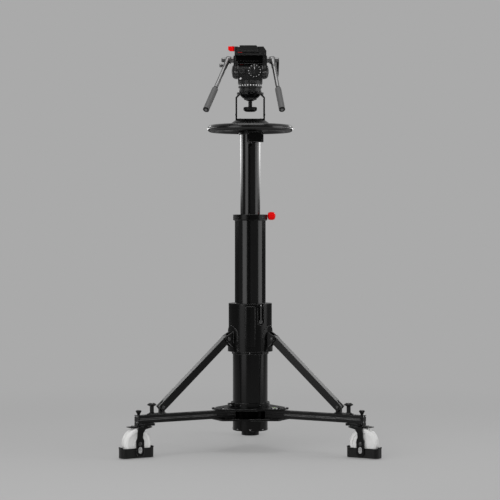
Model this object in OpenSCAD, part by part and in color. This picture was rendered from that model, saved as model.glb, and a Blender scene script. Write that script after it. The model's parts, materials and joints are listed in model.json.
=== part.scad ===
// Pneumatic camera pedestal with a fluid head: a two-stage column on a three-legged rolling base.
// Origin on the floor under the column axis, +Z up, -Y towards the operator.

/* [Rolling base] */
// Direction of the left leg
leg_angle_left = 210; // [205:1:215]
// Direction of the right leg
leg_angle_right = 330; // [325:1:335]
// Direction of the rear leg
leg_angle_rear = 90; // [85:1:95]
// Radius of the leg's outer end from the column axis
leg_reach = 542; // [530:1:620]
// Radius at which the leg's inner end stops
leg_inner_r = 80; // [70:1:90]
// Leg width
leg_w = 28; // [26:1:34]
// Leg height
leg_h = 34; // [30:1:44]
// Leg wall
leg_wall = 3; // [2:0.5:4]
// Height of the leg's underside over the floor
leg_z = 143; // [141:1:160]
// Width of the grooves along the leg's sides
leg_groove_w = 7; // [4:1:9]
// Depth of the grooves along the leg's sides
leg_groove_d = 1.5; // [0.5:0.5:2]
// Radius of the leg's swing bolt
leg_bolt_r = 5; // [3:0.5:7]
// Distance of the swing bolt from the column axis
leg_bolt_reach = 138; // [125:1:145]

/* [Hub] */
// Thickness of the two hub plates
hub_plate_t = 8; // [5:1:12]
// Reach of the hub plates along each leg
hub_plate_reach = 162; // [155:1:190]
// Width of a hub plate's end
hub_plate_end_w = 89; // [70:1:100]
// Radius of the core between the plates
core_r = 46; // [40:1:60]
// Width of the web beside the core
core_web_w = 160; // [120:2:170]
// Height of the cup under the lower plate
base_cup_h = 49; // [30:1:60]
// Radius of the boss under the cup
boss_r = 37.5; // [25:0.5:45]
// Height of the boss under the cup
boss_h = 21; // [10:1:30]

/* [Column] */
// Radius of the base tube
base_r = 74.4; // [72:0.1:78]
// Wall of the base tube
base_wall = 6; // [4:0.5:6]
// Radius of the brace housing
housing_r = 91.9; // [88:0.1:96]
// Height of the brace housing
housing_h = 204; // [180:1:230]
// Height of the housing's top over the floor
housing_top_z = 626; // [600:1:660]
// Step under the housing
housing_step = 11; // [6:1:16]
// Radius of the middle tube
mid_r = 65.6; // [60:0.1:66]
// Wall of the middle tube
mid_wall = 4; // [3:0.5:5]
// Middle tube shown above the housing
mid_shown = 351; // [300:1:380]
// Middle tube left inside the base when raised
mid_overlap = 120; // [100:1:150]
// Radius of the collar on the middle tube
collar_r = 73; // [70:0.5:80]
// Height of the collar
collar_h = 26; // [20:1:40]
// Radius of the top tube
top_r = 41.8; // [38:0.1:46]
// Wall of the top tube
top_wall = 4; // [3:0.5:5]
// Top tube shown above the collar
top_shown = 340; // [300:1:360]
// Top tube left inside the middle tube when raised
top_overlap = 130; // [100:1:150]
// Running clearance of the tubes
tube_gap = 0.3; // [0.2:0.1:0.6]
// Radius of the red clamp knob
clamp_knob_r = 14.5; // [10:0.5:16]
// Length of the red clamp knob
clamp_knob_len = 23; // [15:1:30]

/* [Braces] */
// Height of a brace, seen from its side
brace_h = 31.4; // [24:0.1:34]
// Width of a brace
brace_w = 28; // [22:1:32]
// Wall of a brace
brace_wall = 3; // [2:0.5:4]
// Distance of the upper brace pin from the column axis
brace_top_reach = 116; // [114:1:124]
// Height of the upper brace pin
brace_top_z = 478; // [465:1:490]
// Distance of the lower brace pin from the leg's outer end
brace_foot_inset = 118; // [100:1:140]
// Height of the lower brace pin over the leg
brace_foot_rise = 28; // [26:1:36]
// Radius of the brace pins
brace_pin_r = 5; // [3:0.5:6]
// Thickness of the lugs at the housing
lug_t = 6; // [4:1:8]
// Thickness of the foot plate on the leg
foot_t = 4; // [3:0.5:6]
// Distance of the pull knob beyond the lower brace pin
pull_knob_out = 45; // [40:1:52]
// Radius of the pull knob's cap
pull_knob_r = 18.5; // [14:0.5:20]
// Height of the pull knob
pull_knob_h = 43; // [30:1:50]

/* [Castors] */
// Wheel radius
wheel_r = 62.5; // [55:0.5:63]
// Wheel width
wheel_w = 42; // [36:1:46]
// Wheel bore radius
axle_r = 6; // [4:0.5:8]
// Distance of the swivel axis from the leg's outer end
swivel_inset = 40; // [36:1:44]
// Trail from the swivel axis to the wheel axle
castor_trail = 39; // [34:1:44]
// Thickness of the fork arms
fork_t = 6; // [4:0.5:8]
// Gap between the wheel and its guard
fork_gap = 2; // [1:0.5:4]
// Thickness of the castor's top plate
castor_plate_t = 9; // [6:1:10]
// Side of the castor's top plate
castor_plate_w = 66; // [60:1:72]
// Length of the cable guard
guard_l = 146; // [142:1:156]
// Height of the cable guard
guard_h = 40; // [30:1:46]
// Wall of the cable guard
guard_wall = 4; // [3:0.5:5]
// Gap between the guard and the floor
guard_floor_gap = 4; // [2:1:8]

/* [Steering ring] */
// Outer radius of the steering ring
ring_r = 182.5; // [160:0.5:190]
// Width of the rim's section
rim_w = 34; // [24:1:38]
// Height of the rim's section
rim_h = 30; // [20:1:34]
// Height of the ring's top over the top tube
ring_rise = 40; // [34:1:50]
// Number of spokes
spokes = 3; // [3:1:5]
// Width of a spoke
spoke_w = 36; // [24:1:44]

/* [Head] */
// Radius of the bowl's spherical seat
bowl_r = 37.5; // [36:0.5:38]
// Height of the bowl's flange over the ring
bowl_rise = 138; // [120:1:160]
// Radius of the bowl's flange
bowl_flange_r = 57; // [54:1:60]
// Radius of the head base
head_base_r = 48; // [46:0.5:50]
// Radius of the pan drag ring
pan_ring_r = 50.5; // [48:0.5:52]
// Height of the tilt axis over the bowl's flange
tilt_rise = 90; // [84:1:96]
// Width of the head's middle block
head_body_w = 104; // [96:1:110]
// Depth of the head's middle block
head_body_d = 64; // [56:1:72]
// Radius of the tilt cheeks
cheek_r = 32; // [28:1:35]
// Thickness of a tilt cheek
cheek_t = 25; // [20:1:26]
// Width of the camera plate
plate_w = 84; // [76:1:92]
// Length of the camera plate
plate_l = 120; // [100:1:140]
// Radius of the tilt dial
dial_r = 27; // [20:1:30]
// Length of a pan bar from its pivot to the grip's end
bar_len = 330; // [290:1:340]
// Radius of a pan bar
bar_r = 6; // [5:0.5:8]
// Length of a grip
grip_len = 141; // [110:1:150]
// Radius of a grip
grip_r = 13; // [11:0.5:15]
// Downward angle of the pan bars
bar_pitch = 43.5; // [42:0.5:46]
// Outward angle of the left pan bar
bar_splay_left = 21.6; // [18:0.2:26]
// Outward angle of the right pan bar
bar_splay_right = 8.7; // [6.5:0.2:20.5]

/* [Hidden] */
$fn = 64;
seat = 0.3;
pin_gap = 0.1;
cut = 1;
leg_angles = [leg_angle_left, leg_angle_right, leg_angle_rear];
core_top_z = leg_z + leg_h;
hub_top_z = core_top_z + hub_plate_t;
housing_z = housing_top_z - housing_h;
housing_lip = 10;
base_top_z = housing_top_z - housing_lip;
mid_foot_r = base_r - base_wall - tube_gap;
mid_foot_h = 30;
mid_z = housing_top_z - mid_overlap;
collar_z = housing_top_z + mid_shown;
collar_top_z = collar_z + collar_h;
collar_lip = 12;
collar_slope = 4;
mid_top_z = collar_top_z - collar_lip;
top_foot_r = mid_r - mid_wall - tube_gap;
top_z = collar_top_z - top_overlap;
ring_hub_z = collar_top_z + top_shown;
ring_top_z = ring_hub_z + ring_rise;
rim_mid_z = ring_top_z - rim_h / 2;
ring_sleeve_r = top_r + 8;
hub_disc_r = 82;
hub_disc_t = 8;
crown_h = 14;
crown_r = 62;
crown_top_z = ring_top_z + hub_disc_t + crown_h;
clamp_z = mid_top_z + collar_lip / 2;
clamp_stem_r = 3;
swivel_reach = leg_reach - swivel_inset;
brace_foot_reach = leg_reach - brace_foot_inset;
pull_knob_reach = brace_foot_reach + pull_knob_out;
brace_top = [brace_top_reach, 0, brace_top_z];
brace_foot = [brace_foot_reach, 0, core_top_z + brace_foot_rise];
brace_run = brace_foot - brace_top;
brace_len = norm(brace_run);
brace_pitch = atan2(-brace_run[2], brace_run[0]);
lug_gap = brace_w / 2 + seat;
lug_pad_r = housing_r + 4;
lug_pad_w = 80;
lug_pad_round = 14;
lug_w = 12;
lug_r = 12;
brace_slot_l = 22;
brace_end_l = 12;
brace_root_l = 24;
foot_z = core_top_z + seat;
foot_w = leg_w;
foot_back = brace_foot_reach - 20;
foot_front = pull_knob_reach + 20;
pull_stem_r = 8.5;
pull_pin_r = 5;
pull_boss_h = 3;
pull_cap_h = 10;
lock_knob_reach = leg_reach - 12;
lock_knob_r = 11;
lock_knob_h = 19;
lock_knob_cap = 6;
castor_plate_z = leg_z - castor_plate_t;
crown_z = 2 * wheel_r + 2.5;
crown_t = castor_plate_z - seat - crown_z;
castor_crown_r = 26;
bracket_t = 4;
bracket_l = 18;
fork_arm_w = 35;
fork_neck_w = 24;
fork_slot_r = 8.5;
fork_slot_z = 30;
fork_slot_h = 12;
guard_w = wheel_w + 2 * fork_gap + 2 * guard_wall;
fork_in = guard_w / 2 + seat;
fork_out = fork_in + fork_t;
wheel_reach = swivel_reach + castor_trail;
guard_corner = 20;
guard_tab_w = 28;
guard_tab_h = 5;
spoke_t = 8;
spoke_z = rim_mid_z - spoke_t / 2;
arm_t = 7;
arm_d = 40;
arm_x = bowl_flange_r + 2;
bowl_top_z = ring_top_z + bowl_rise;
bowl_flange_t = 8;
bowl_depth = 22;
ball_r = bowl_r - seat;
head_base_h = 20;
pan_ring_z = bowl_top_z + head_base_h + seat;
pan_ring_h = 29;
neck_r = 30;
head_body_z = pan_ring_z + pan_ring_h + seat;
tilt_z = bowl_top_z + tilt_rise;
cheek_gap = 1;
cheek_round = 19;
arm_over_cheek = 18;
bridge_w = 124;
bridge_d = 56;
rib_d = 30;
cheek_x = head_body_w / 2 + cheek_gap;
bridge_z = tilt_z + head_body_d / 2 + 10;
bridge_t = 24;
tilt_pin_r = 10;
tilt_pin_x = cheek_x + cheek_t - 6;
dial_x = 18;
dial_pin_r = 5;
dial_pin_l = 9;
dial_t = 6;
dial_boss_h = 8;
plate_z = bridge_z + bridge_t - seat;
plate_t = 28;
plate_off = -10;
plate_foot_h = 7;
plate_edge = 7;
plate_step = 9;
large_screw_y = -30;
large_screw_r = 5;
small_screw_r = 3.2;
seat_t = 12;
jaw_w = 14;
jaw_t = 36;
side_box_w = 36;
side_slope = 12;
seat_l = 96;
lever_boss_r = 7;
lever_x = plate_off - plate_w / 2 - seat - jaw_w - seat - lever_boss_r;
lever_rise = 17;
lever_h = 20;
lever_l = 20;
bar_pivot_z = bridge_z + 7;
bar_pivot_x = cheek_x + 42;
shaft_r = 11;
shaft_l = 28;
rosette_r = 15;
bar_in_grip = 20;
stem_r = 8.3;
bowl_knob_r = 27.5;
bowl_knob_h = 19;
stem_len = 24;
swivel_pin_r = 8;
level_angle = leg_angle_right - 14;
level_reach = 140;
front_angle = 270;
valve_angle = (leg_angle_right + front_angle) / 2;
leg_root_l = 84;
leg_cap_t = 4;
clamp_lug_angle = 200;
valve_ball_r = 6;
valve_depth = 9;
valve_drop = 76;
valve_w = 31;
base_lift = 4.5;

// Places a leg's pieces: its own X runs outward, Y across, Z up
module along(angle) {
    rotate([0, 0, angle]) children();
}

// A bar from one side to the other across Y at a point of the leg's plane
module cross_pin(at, r, half) {
    translate([at[0], half, at[2]]) rotate([90, 0, 0]) cylinder(r = r, h = 2 * half);
}

// A rectangle with round corners, centred
module round_rect(l, w, r) {
    union() {
        square([l - 2 * r, w], center = true);
        square([l, w - 2 * r], center = true);
        for (x = [-1, 1], y = [-1, 1]) translate([x * (l / 2 - r), y * (w / 2 - r)]) circle(r = r);
    }
}

// A flat outline standing in the leg's plane, from half -w/2 to w/2 across
module upright(w) {
    translate([0, w / 2, 0]) rotate([90, 0, 0]) linear_extrude(w) children();
}

// The hub plates: a triangle with its three corners cut square across the legs
module hub_outline() {
    ends = [for (a = [leg_angle_rear, leg_angle_left, leg_angle_right], s = [-1, 1])
        [hub_plate_reach * cos(a) - s * hub_plate_end_w / 2 * sin(a),
         hub_plate_reach * sin(a) + s * hub_plate_end_w / 2 * cos(a)]];
    polygon(ends);
}

module leg_bolt_holes(r) {
    for (a = leg_angles) rotate([0, 0, a]) translate([leg_bolt_reach, 0]) circle(r = r);
}

module hub_lower_plate() {
    color([0.05, 0.05, 0.05]) translate([0, 0, leg_z - hub_plate_t]) linear_extrude(hub_plate_t)
        difference() {
            hub_outline();
            leg_bolt_holes(leg_bolt_r + pin_gap);
        }
}

module hub_upper_plate() {
    color([0.05, 0.05, 0.05]) translate([0, 0, core_top_z]) linear_extrude(hub_plate_t)
        difference() {
            hub_outline();
            leg_bolt_holes(leg_bolt_r + pin_gap);
        }
}

module core_tube() {
    color([0.06, 0.06, 0.06]) translate([0, 0, leg_z]) difference() {
        union() {
            cylinder(r = core_r, h = leg_h);
            translate([-core_web_w / 2, core_r / 2, 0]) cube([core_web_w, base_wall, leg_h]);
        }
        translate([0, 0, -cut]) cylinder(r = core_r - base_wall, h = leg_h + 2 * cut);
    }
}

module base_cup() {
    cup_z = leg_z - hub_plate_t - base_cup_h;
    color([0.06, 0.06, 0.06]) difference() {
        union() {
            translate([0, 0, cup_z]) cylinder(r = base_r, h = base_cup_h);
            translate([0, 0, cup_z - boss_h]) cylinder(r = boss_r, h = boss_h + cut);
        }
        translate([0, 0, cup_z + base_wall]) cylinder(r = base_r - base_wall, h = base_cup_h);
    }
}

module base_tube() {
    color([0.06, 0.06, 0.06]) translate([0, 0, hub_top_z]) difference() {
        cylinder(r = base_r, h = base_top_z - hub_top_z);
        translate([0, 0, base_wall]) cylinder(r = base_r - base_wall, h = base_top_z - hub_top_z);
    }
}

module lug_cheek(side) {
    across = side > 0 ? lug_gap : -lug_gap - lug_t;
    root = housing_r - lug_t;
    tip = brace_top_reach + 8;
    color([0.06, 0.06, 0.06]) translate([0, across + lug_t, 0]) rotate([90, 0, 0]) linear_extrude(lug_t)
        difference() {
            union() {
                translate([0, brace_top_z]) polygon([[root, 34], [tip, 12], [tip, -12], [root, -44]]);
                translate([brace_top_reach, brace_top_z]) circle(r = lug_pad_round);
            }
            translate([brace_top_reach, brace_top_z]) circle(r = brace_pin_r + pin_gap);
        }
}

// The raised pad behind the lugs, wrapped on the housing with a round top
module lug_pad() {
    intersection() {
        translate([0, 0, housing_z]) cylinder(r = lug_pad_r, h = housing_h);
        rotate([90, 0, 90]) linear_extrude(lug_pad_r + 1) union() {
            translate([0, brace_top_z + lug_pad_round]) circle(r = lug_pad_w / 2);
            translate([-lug_pad_w / 2, housing_z]) square([lug_pad_w, brace_top_z + lug_pad_round - housing_z]);
        }
    }
}

// The notch in the housing, where the air valve stands
module valve_place() {
    rotate([0, 0, valve_angle]) translate([housing_r - valve_depth, 0, housing_top_z - valve_drop]) children();
}

module housing() {
    step_z = housing_z - housing_step;
    color([0.06, 0.06, 0.06]) difference() {
        union() {
            translate([0, 0, housing_z]) cylinder(r = housing_r, h = housing_h);
            translate([0, 0, step_z]) cylinder(r = base_r + 4, h = housing_step + cut);
            for (a = leg_angles) along(a) {
                lug_pad();
                for (s = [-1, 1]) lug_cheek(s);
            }
        }
        translate([0, 0, step_z - cut]) cylinder(r = base_r + pin_gap, h = base_top_z - step_z + cut);
        translate([0, 0, base_top_z - cut]) cylinder(r = mid_r + tube_gap, h = housing_lip + 2 * cut);
        valve_place() {
            rotate([0, 90, 0]) cylinder(r = valve_w / 2, h = 2 * valve_depth);
            translate([0, -valve_w / 2, 0]) cube([2 * valve_depth, valve_w, valve_drop + cut]);
        }
    }
}

module air_valve() {
    stem_h = valve_drop - 2 * valve_ball_r;
    color([0.75, 0.75, 0.75]) valve_place() {
        rotate([0, 90, 0]) cylinder(r = 9, h = valve_ball_r);
        translate([valve_ball_r + seat, 0, 0]) cylinder(r = valve_ball_r / 2, h = stem_h);
        translate([valve_ball_r + seat, 0, stem_h]) sphere(r = valve_ball_r);
    }
}

module clamp_ring() {
    ring_h = 20;
    lug = 18;
    split = 3;
    color([0.06, 0.06, 0.06]) difference() {
        union() {
            translate([0, 0, hub_top_z]) cylinder(r = base_r + 8.6, h = ring_h);
            rotate([0, 0, clamp_lug_angle]) translate([base_r + 4, -lug / 2, hub_top_z])
                cube([lug + 2, lug, lug]);
        }
        translate([0, 0, hub_top_z - cut]) cylinder(r = base_r + pin_gap, h = ring_h + 2 * cut);
        rotate([0, 0, clamp_lug_angle]) translate([base_r - cut, -split / 2, hub_top_z - cut])
            cube([30, split, ring_h + 2 * cut]);
    }
}

module spirit_level() {
    color([0.7, 0.7, 0.7]) rotate([0, 0, level_angle]) translate([level_reach, 0, hub_top_z]) difference() {
        cylinder(r = 13, h = 5);
        translate([0, 0, 3]) cylinder(r = 9, h = 3);
    }
}

module hub_bolts() {
    head_h = 4;
    low_z = leg_z - hub_plate_t;
    color([0.1, 0.1, 0.1]) for (a = leg_angles) along(a) translate([leg_bolt_reach, 0, 0]) {
        translate([0, 0, low_z]) cylinder(r = leg_bolt_r, h = hub_top_z - low_z);
        for (z = [low_z - head_h, hub_top_z]) translate([0, 0, z]) cylinder(r = 2 * leg_bolt_r, h = head_h);
    }
}

module brace_pins() {
    half = lug_gap + lug_t;
    color([0.1, 0.1, 0.1]) for (a = leg_angles) along(a) {
        cross_pin(brace_top, brace_pin_r, half);
        for (s = [-1, 1]) translate([0, s * (half + 2), 0]) cross_pin(brace_top, brace_pin_r + 3, 2);
    }
}

module leg() {
    length = leg_reach - leg_cap_t - leg_inner_r;
    groove_z = leg_z + (leg_h - leg_groove_w) / 2;
    color([0.07, 0.07, 0.07]) difference() {
        translate([leg_inner_r, -leg_w / 2, leg_z + seat / 2]) cube([length, leg_w, leg_h - seat]);
        translate([leg_inner_r + leg_root_l, -leg_w / 2 + leg_wall, leg_z + leg_wall])
            cube([length, leg_w - 2 * leg_wall, leg_h - 2 * leg_wall]);
        for (s = [-1, 1]) translate([leg_inner_r - cut, s * leg_w / 2 - leg_groove_d, groove_z])
            cube([length + 2 * cut, 2 * leg_groove_d, leg_groove_w]);
        translate([leg_bolt_reach, 0, leg_z - cut]) cylinder(r = leg_bolt_r + pin_gap, h = leg_h + 2 * cut);
    }
}

// The cast end: a cap on the tube and the castor's plate under it
module leg_end() {
    plug_l = 27;
    plug_in = leg_wall + pin_gap;
    lip = leg_reach - swivel_reach - castor_plate_w / 2 + 2;
    color([0.05, 0.05, 0.05]) difference() {
        union() {
            translate([leg_reach - leg_cap_t, -leg_w / 2, castor_plate_z])
                cube([leg_cap_t, leg_w, leg_h + castor_plate_t]);
            translate([leg_reach - leg_cap_t - plug_l + cut, -leg_w / 2 + plug_in, leg_z + plug_in])
                cube([plug_l, leg_w - 2 * plug_in, leg_h - 2 * plug_in]);
            translate([swivel_reach, 0, castor_plate_z]) linear_extrude(castor_plate_t)
                round_rect(castor_plate_w, castor_plate_w, 6);
            translate([leg_reach - lip, -leg_w / 2, castor_plate_z]) cube([lip, leg_w, castor_plate_t]);
        }
        translate([swivel_reach, 0, castor_plate_z - cut])
            cylinder(r = swivel_pin_r + pin_gap, h = castor_plate_t + 2 * cut);
    }
}

module lock_knob() {
    color([0.04, 0.04, 0.04]) translate([lock_knob_reach, 0, core_top_z]) {
        cylinder(r = lock_knob_r / 2, h = lock_knob_cap);
        translate([0, 0, lock_knob_cap - 2])
            cylinder(r1 = 6, r2 = lock_knob_r, h = lock_knob_h - 2 * lock_knob_cap + 2);
        translate([0, 0, lock_knob_h - lock_knob_cap]) cylinder(r = lock_knob_r, h = lock_knob_cap);
    }
}

// One arm: a slotted foot beside the wheel, a narrower neck and a bracket under the crown
module fork_arm_outline() {
    arm = wheel_reach - 3;
    half = fork_arm_w / 2;
    neck = fork_neck_w / 2;
    low_z = half + 8;
    shoulder_z = wheel_r + 12;
    neck_z = shoulder_z + 12;
    top_z = crown_z + bracket_t;
    back = swivel_reach - bracket_l;
    difference() {
        union() {
            polygon([[arm - half, low_z], [arm + half, low_z], [arm + half, shoulder_z], [arm + neck, neck_z],
                     [arm + neck - 3, top_z], [back, top_z], [back, crown_z], [arm - 2 * neck, crown_z - 7],
                     [arm - neck - 1, crown_z - 22], [arm - neck, neck_z], [arm - half, shoulder_z]]);
            translate([arm, low_z]) circle(r = half);
        }
        for (z = [fork_slot_z, fork_slot_z + fork_slot_h]) translate([arm, z]) circle(r = fork_slot_r);
        translate([arm - fork_slot_r, fork_slot_z]) square([2 * fork_slot_r, fork_slot_h]);
    }
}

module fork() {
    nut_t = 3;
    color([0.05, 0.05, 0.05]) {
        for (s = [-1, 1]) translate([0, s * (fork_in + fork_t / 2), 0]) upright(fork_t) fork_arm_outline();
        translate([swivel_reach - bracket_l, -fork_out, crown_z])
            cube([castor_trail + bracket_l + 4, 2 * fork_out, bracket_t]);
        translate([swivel_reach, 0, crown_z]) cylinder(r = castor_crown_r, h = crown_t);
        translate([swivel_reach, 0, crown_z]) cylinder(r = swivel_pin_r, h = crown_t + castor_plate_t + seat);
        cross_pin([wheel_reach, 0, wheel_r], axle_r - pin_gap, fork_out);
        for (s = [-1, 1]) translate([0, s * (fork_out + nut_t / 2), 0])
            cross_pin([wheel_reach, 0, wheel_r], axle_r + nut_t, nut_t / 2);
    }
}

module wheel() {
    edge = 14;
    hub_face_r = 18;
    recess_r = wheel_r - edge - 4;
    recess_d = 3;
    color([0.85, 0.85, 0.85]) translate([wheel_reach, 0, wheel_r]) rotate([90, 0, 0]) rotate_extrude($fn = 96)
        difference() {
            union() {
                translate([axle_r, -wheel_w / 2 + edge]) square([wheel_r - axle_r, wheel_w - 2 * edge]);
                translate([axle_r, -wheel_w / 2]) square([wheel_r - edge - axle_r, wheel_w]);
                for (s = [-1, 1]) translate([wheel_r - edge, s * (wheel_w / 2 - edge)]) circle(r = edge);
            }
            for (s = [-1, 1]) translate([hub_face_r, s * wheel_w / 2 - recess_d])
                square([recess_r - hub_face_r, 2 * recess_d]);
        }
}

module guard() {
    color([0.04, 0.04, 0.04]) translate([wheel_reach, 0, guard_floor_gap]) {
        linear_extrude(guard_h) difference() {
            round_rect(guard_l, guard_w, guard_corner);
            round_rect(guard_l - 2 * guard_wall, guard_w - 2 * guard_wall, guard_corner - guard_wall);
        }
        for (s = [-1, 1]) translate([s * (guard_l - guard_wall) / 2, 0, guard_h + guard_tab_h / 2 - cut / 2])
            cube([guard_wall, guard_tab_w, guard_tab_h + cut], center = true);
    }
}

module brace() {
    full = brace_len + brace_end_l;
    color([0.06, 0.06, 0.06]) translate(brace_top) rotate([0, brace_pitch, 0]) difference() {
        union() {
            translate([0, -brace_w / 2, -brace_h / 2]) cube([full, brace_w, brace_h]);
            translate([0, brace_w / 2, 0]) rotate([90, 0, 0]) cylinder(r = brace_h / 2, h = brace_w);
        }
        translate([brace_root_l, -brace_w / 2 + brace_wall, -brace_h / 2 + brace_wall])
            cube([full, brace_w - 2 * brace_wall, brace_h - 2 * brace_wall]);
        translate([brace_len - brace_slot_l, -lug_w / 2 - seat, -brace_h])
            cube([full, lug_w + 2 * seat, 2 * brace_h]);
        for (x = [0, brace_len])
            translate([x, brace_w, 0]) rotate([90, 0, 0]) cylinder(r = brace_pin_r + pin_gap, h = 2 * brace_w);
    }
}

module brace_foot_part() {
    head_t = 3;
    half = brace_w / 2 + seat + head_t;
    color([0.05, 0.05, 0.05]) {
        difference() {
            union() {
                translate([(foot_back + foot_front) / 2, 0, foot_z]) linear_extrude(foot_t)
                    round_rect(foot_front - foot_back, foot_w, foot_w / 2 - 1);
                upright(lug_w) union() {
                    translate([brace_foot_reach - lug_r, foot_z + cut])
                        square([2 * lug_r, brace_foot[2] - foot_z - cut]);
                    translate([brace_foot_reach, brace_foot[2]]) circle(r = lug_r);
                }
                translate([pull_knob_reach, 0, foot_z]) cylinder(r = pull_stem_r + 3, h = foot_t + pull_boss_h);
            }
            translate([pull_knob_reach, 0, foot_z - cut])
                cylinder(r = pull_pin_r + pin_gap, h = foot_t + pull_boss_h + 2 * cut);
        }
        cross_pin(brace_foot, brace_pin_r, half - cut);
        for (s = [-1, 1]) translate([0, s * (half - head_t / 2), 0])
            cross_pin(brace_foot, brace_pin_r + 2, head_t / 2);
    }
}

module pull_knob() {
    stem_z = foot_z + foot_t + pull_boss_h + seat;
    cap_z = core_top_z + pull_knob_h - pull_cap_h;
    color([0.04, 0.04, 0.04]) translate([pull_knob_reach, 0, 0]) {
        translate([0, 0, foot_z + seat]) cylinder(r = pull_pin_r, h = stem_z - foot_z);
        translate([0, 0, stem_z]) cylinder(r = pull_stem_r, h = cap_z - stem_z + cut);
        translate([0, 0, cap_z]) cylinder(r1 = pull_stem_r, r2 = pull_knob_r, h = pull_cap_h / 2);
        translate([0, 0, cap_z + pull_cap_h / 2]) cylinder(r = pull_knob_r, h = pull_cap_h / 2 - 2);
        translate([0, 0, cap_z + pull_cap_h - 2])
            cylinder(r1 = pull_knob_r, r2 = pull_knob_r - 6, h = pull_cap_h / 2);
    }
}

module mid_tube() {
    color([0.07, 0.07, 0.07]) difference() {
        union() {
            translate([0, 0, mid_z]) cylinder(r = mid_r, h = mid_top_z - mid_z);
            translate([0, 0, mid_z]) cylinder(r = mid_foot_r, h = mid_foot_h);
        }
        translate([0, 0, mid_z + mid_wall]) cylinder(r = mid_r - mid_wall, h = mid_top_z - mid_z);
    }
}

module mid_collar() {
    color([0.07, 0.07, 0.07]) difference() {
        union() {
            translate([0, 0, collar_z + collar_slope]) cylinder(r = collar_r, h = collar_h - collar_slope);
            translate([0, 0, collar_z]) cylinder(r1 = collar_r - collar_slope, r2 = collar_r, h = collar_slope);
        }
        translate([0, 0, collar_z - cut]) cylinder(r = mid_r + pin_gap, h = collar_h - collar_lip + cut);
        translate([0, 0, collar_z]) cylinder(r = top_r + tube_gap, h = collar_h + cut);
        translate([top_r + cut, 0, clamp_z]) rotate([0, 90, 0])
            cylinder(r = clamp_stem_r + pin_gap, h = collar_r);
    }
}

module clamp_knob() {
    root_h = 4;
    nose_h = 5;
    stem_h = collar_r - top_r - 3;
    grip_h = clamp_knob_len - root_h - nose_h;
    color([0.9, 0.02, 0.02]) translate([0, 0, clamp_z]) rotate([0, 90, 0]) {
        translate([0, 0, top_r + 5]) cylinder(r = clamp_stem_r, h = stem_h);
        translate([0, 0, collar_r + 1]) cylinder(r1 = 8, r2 = clamp_knob_r, h = root_h);
        translate([0, 0, collar_r + 1 + root_h]) cylinder(r = clamp_knob_r, h = grip_h);
        translate([0, 0, collar_r + 1 + root_h + grip_h])
            cylinder(r1 = clamp_knob_r, r2 = clamp_knob_r - 5, h = nose_h);
    }
}

module top_tube() {
    color([0.07, 0.07, 0.07]) difference() {
        union() {
            translate([0, 0, top_z]) cylinder(r = top_r, h = ring_hub_z - top_z);
            translate([0, 0, top_z]) cylinder(r = top_foot_r, h = mid_foot_h);
        }
        translate([0, 0, top_z + top_wall]) cylinder(r = top_r - top_wall, h = ring_hub_z - top_z);
    }
}

module ring_rim() {
    bend = rim_h / 2;
    color([0.06, 0.06, 0.06]) translate([0, 0, rim_mid_z]) rotate_extrude($fn = 128) union() {
        translate([ring_r - rim_w + bend, -bend]) square([rim_w - 2 * bend, rim_h]);
        for (x = [ring_r - rim_w + bend, ring_r - bend]) translate([x, 0]) circle(r = bend, $fn = 48);
    }
}

module ring_hub() {
    color([0.05, 0.05, 0.05]) union() {
        translate([0, 0, ring_hub_z]) cylinder(r = ring_sleeve_r, h = ring_top_z - ring_hub_z);
        translate([0, 0, ring_top_z]) cylinder(r = hub_disc_r, h = hub_disc_t);
        translate([0, 0, ring_top_z + hub_disc_t]) cylinder(r1 = hub_disc_r, r2 = crown_r, h = crown_h);
        intersection() {
            translate([0, 0, spoke_z]) cylinder(r = ring_r - rim_w - seat, h = spoke_t, $fn = 128);
            for (i = [0 : spokes - 1]) rotate([0, 0, 90 + i * 360 / spokes])
                translate([top_r, -spoke_w / 2, spoke_z]) cube([ring_r, spoke_w, spoke_t]);
        }
    }
}

module valve_block() {
    block_w = 70;
    block_d = 34;
    drop = 34;
    rise = 8;
    color([0.05, 0.05, 0.05]) {
        difference() {
            translate([-14, -top_r - 30, ring_hub_z - drop]) cube([block_w, block_d, drop + rise]);
            translate([0, 0, ring_hub_z - drop - cut]) cylinder(r = top_r + 0.2, h = drop + cut + 0.1);
            translate([0, 0, ring_hub_z]) cylinder(r = ring_sleeve_r + 0.2, h = ring_rise);
        }
        translate([0, -top_r - 16, ring_hub_z - drop - rise]) cylinder(r = 7, h = rise + cut);
    }
}

// Two flat arms on a foot plate, bent inwards at the top to carry the bowl
module bowl_stand() {
    bend_h = 12;
    foot_plate_t = 5;
    flange_z = bowl_top_z - bowl_flange_t;
    high = flange_z - bend_h;
    color([0.05, 0.05, 0.05]) {
        for (s = [-1, 1]) {
            translate([s * arm_x - arm_t / 2, -arm_d / 2, crown_top_z])
                cube([arm_t, arm_d, high - crown_top_z]);
            translate([0, arm_d / 2, 0]) rotate([90, 0, 0]) linear_extrude(arm_d)
                polygon([[s * (arm_x + arm_t / 2), high - cut], [s * (arm_x - arm_t / 2), high - cut],
                         [s * (arm_x - 17), flange_z], [s * (arm_x - 8), flange_z]]);
        }
        translate([-arm_x, -arm_d / 2, crown_top_z]) cube([2 * arm_x, arm_d, foot_plate_t]);
        difference() {
            union() {
                translate([0, 0, flange_z]) cylinder(r = bowl_flange_r, h = bowl_flange_t);
                translate([0, 0, bowl_top_z - bowl_depth])
                    cylinder(r1 = 33, r2 = 46, h = bowl_depth - bowl_flange_t);
            }
            translate([0, 0, bowl_top_z]) sphere(r = bowl_r);
        }
    }
}

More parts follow.
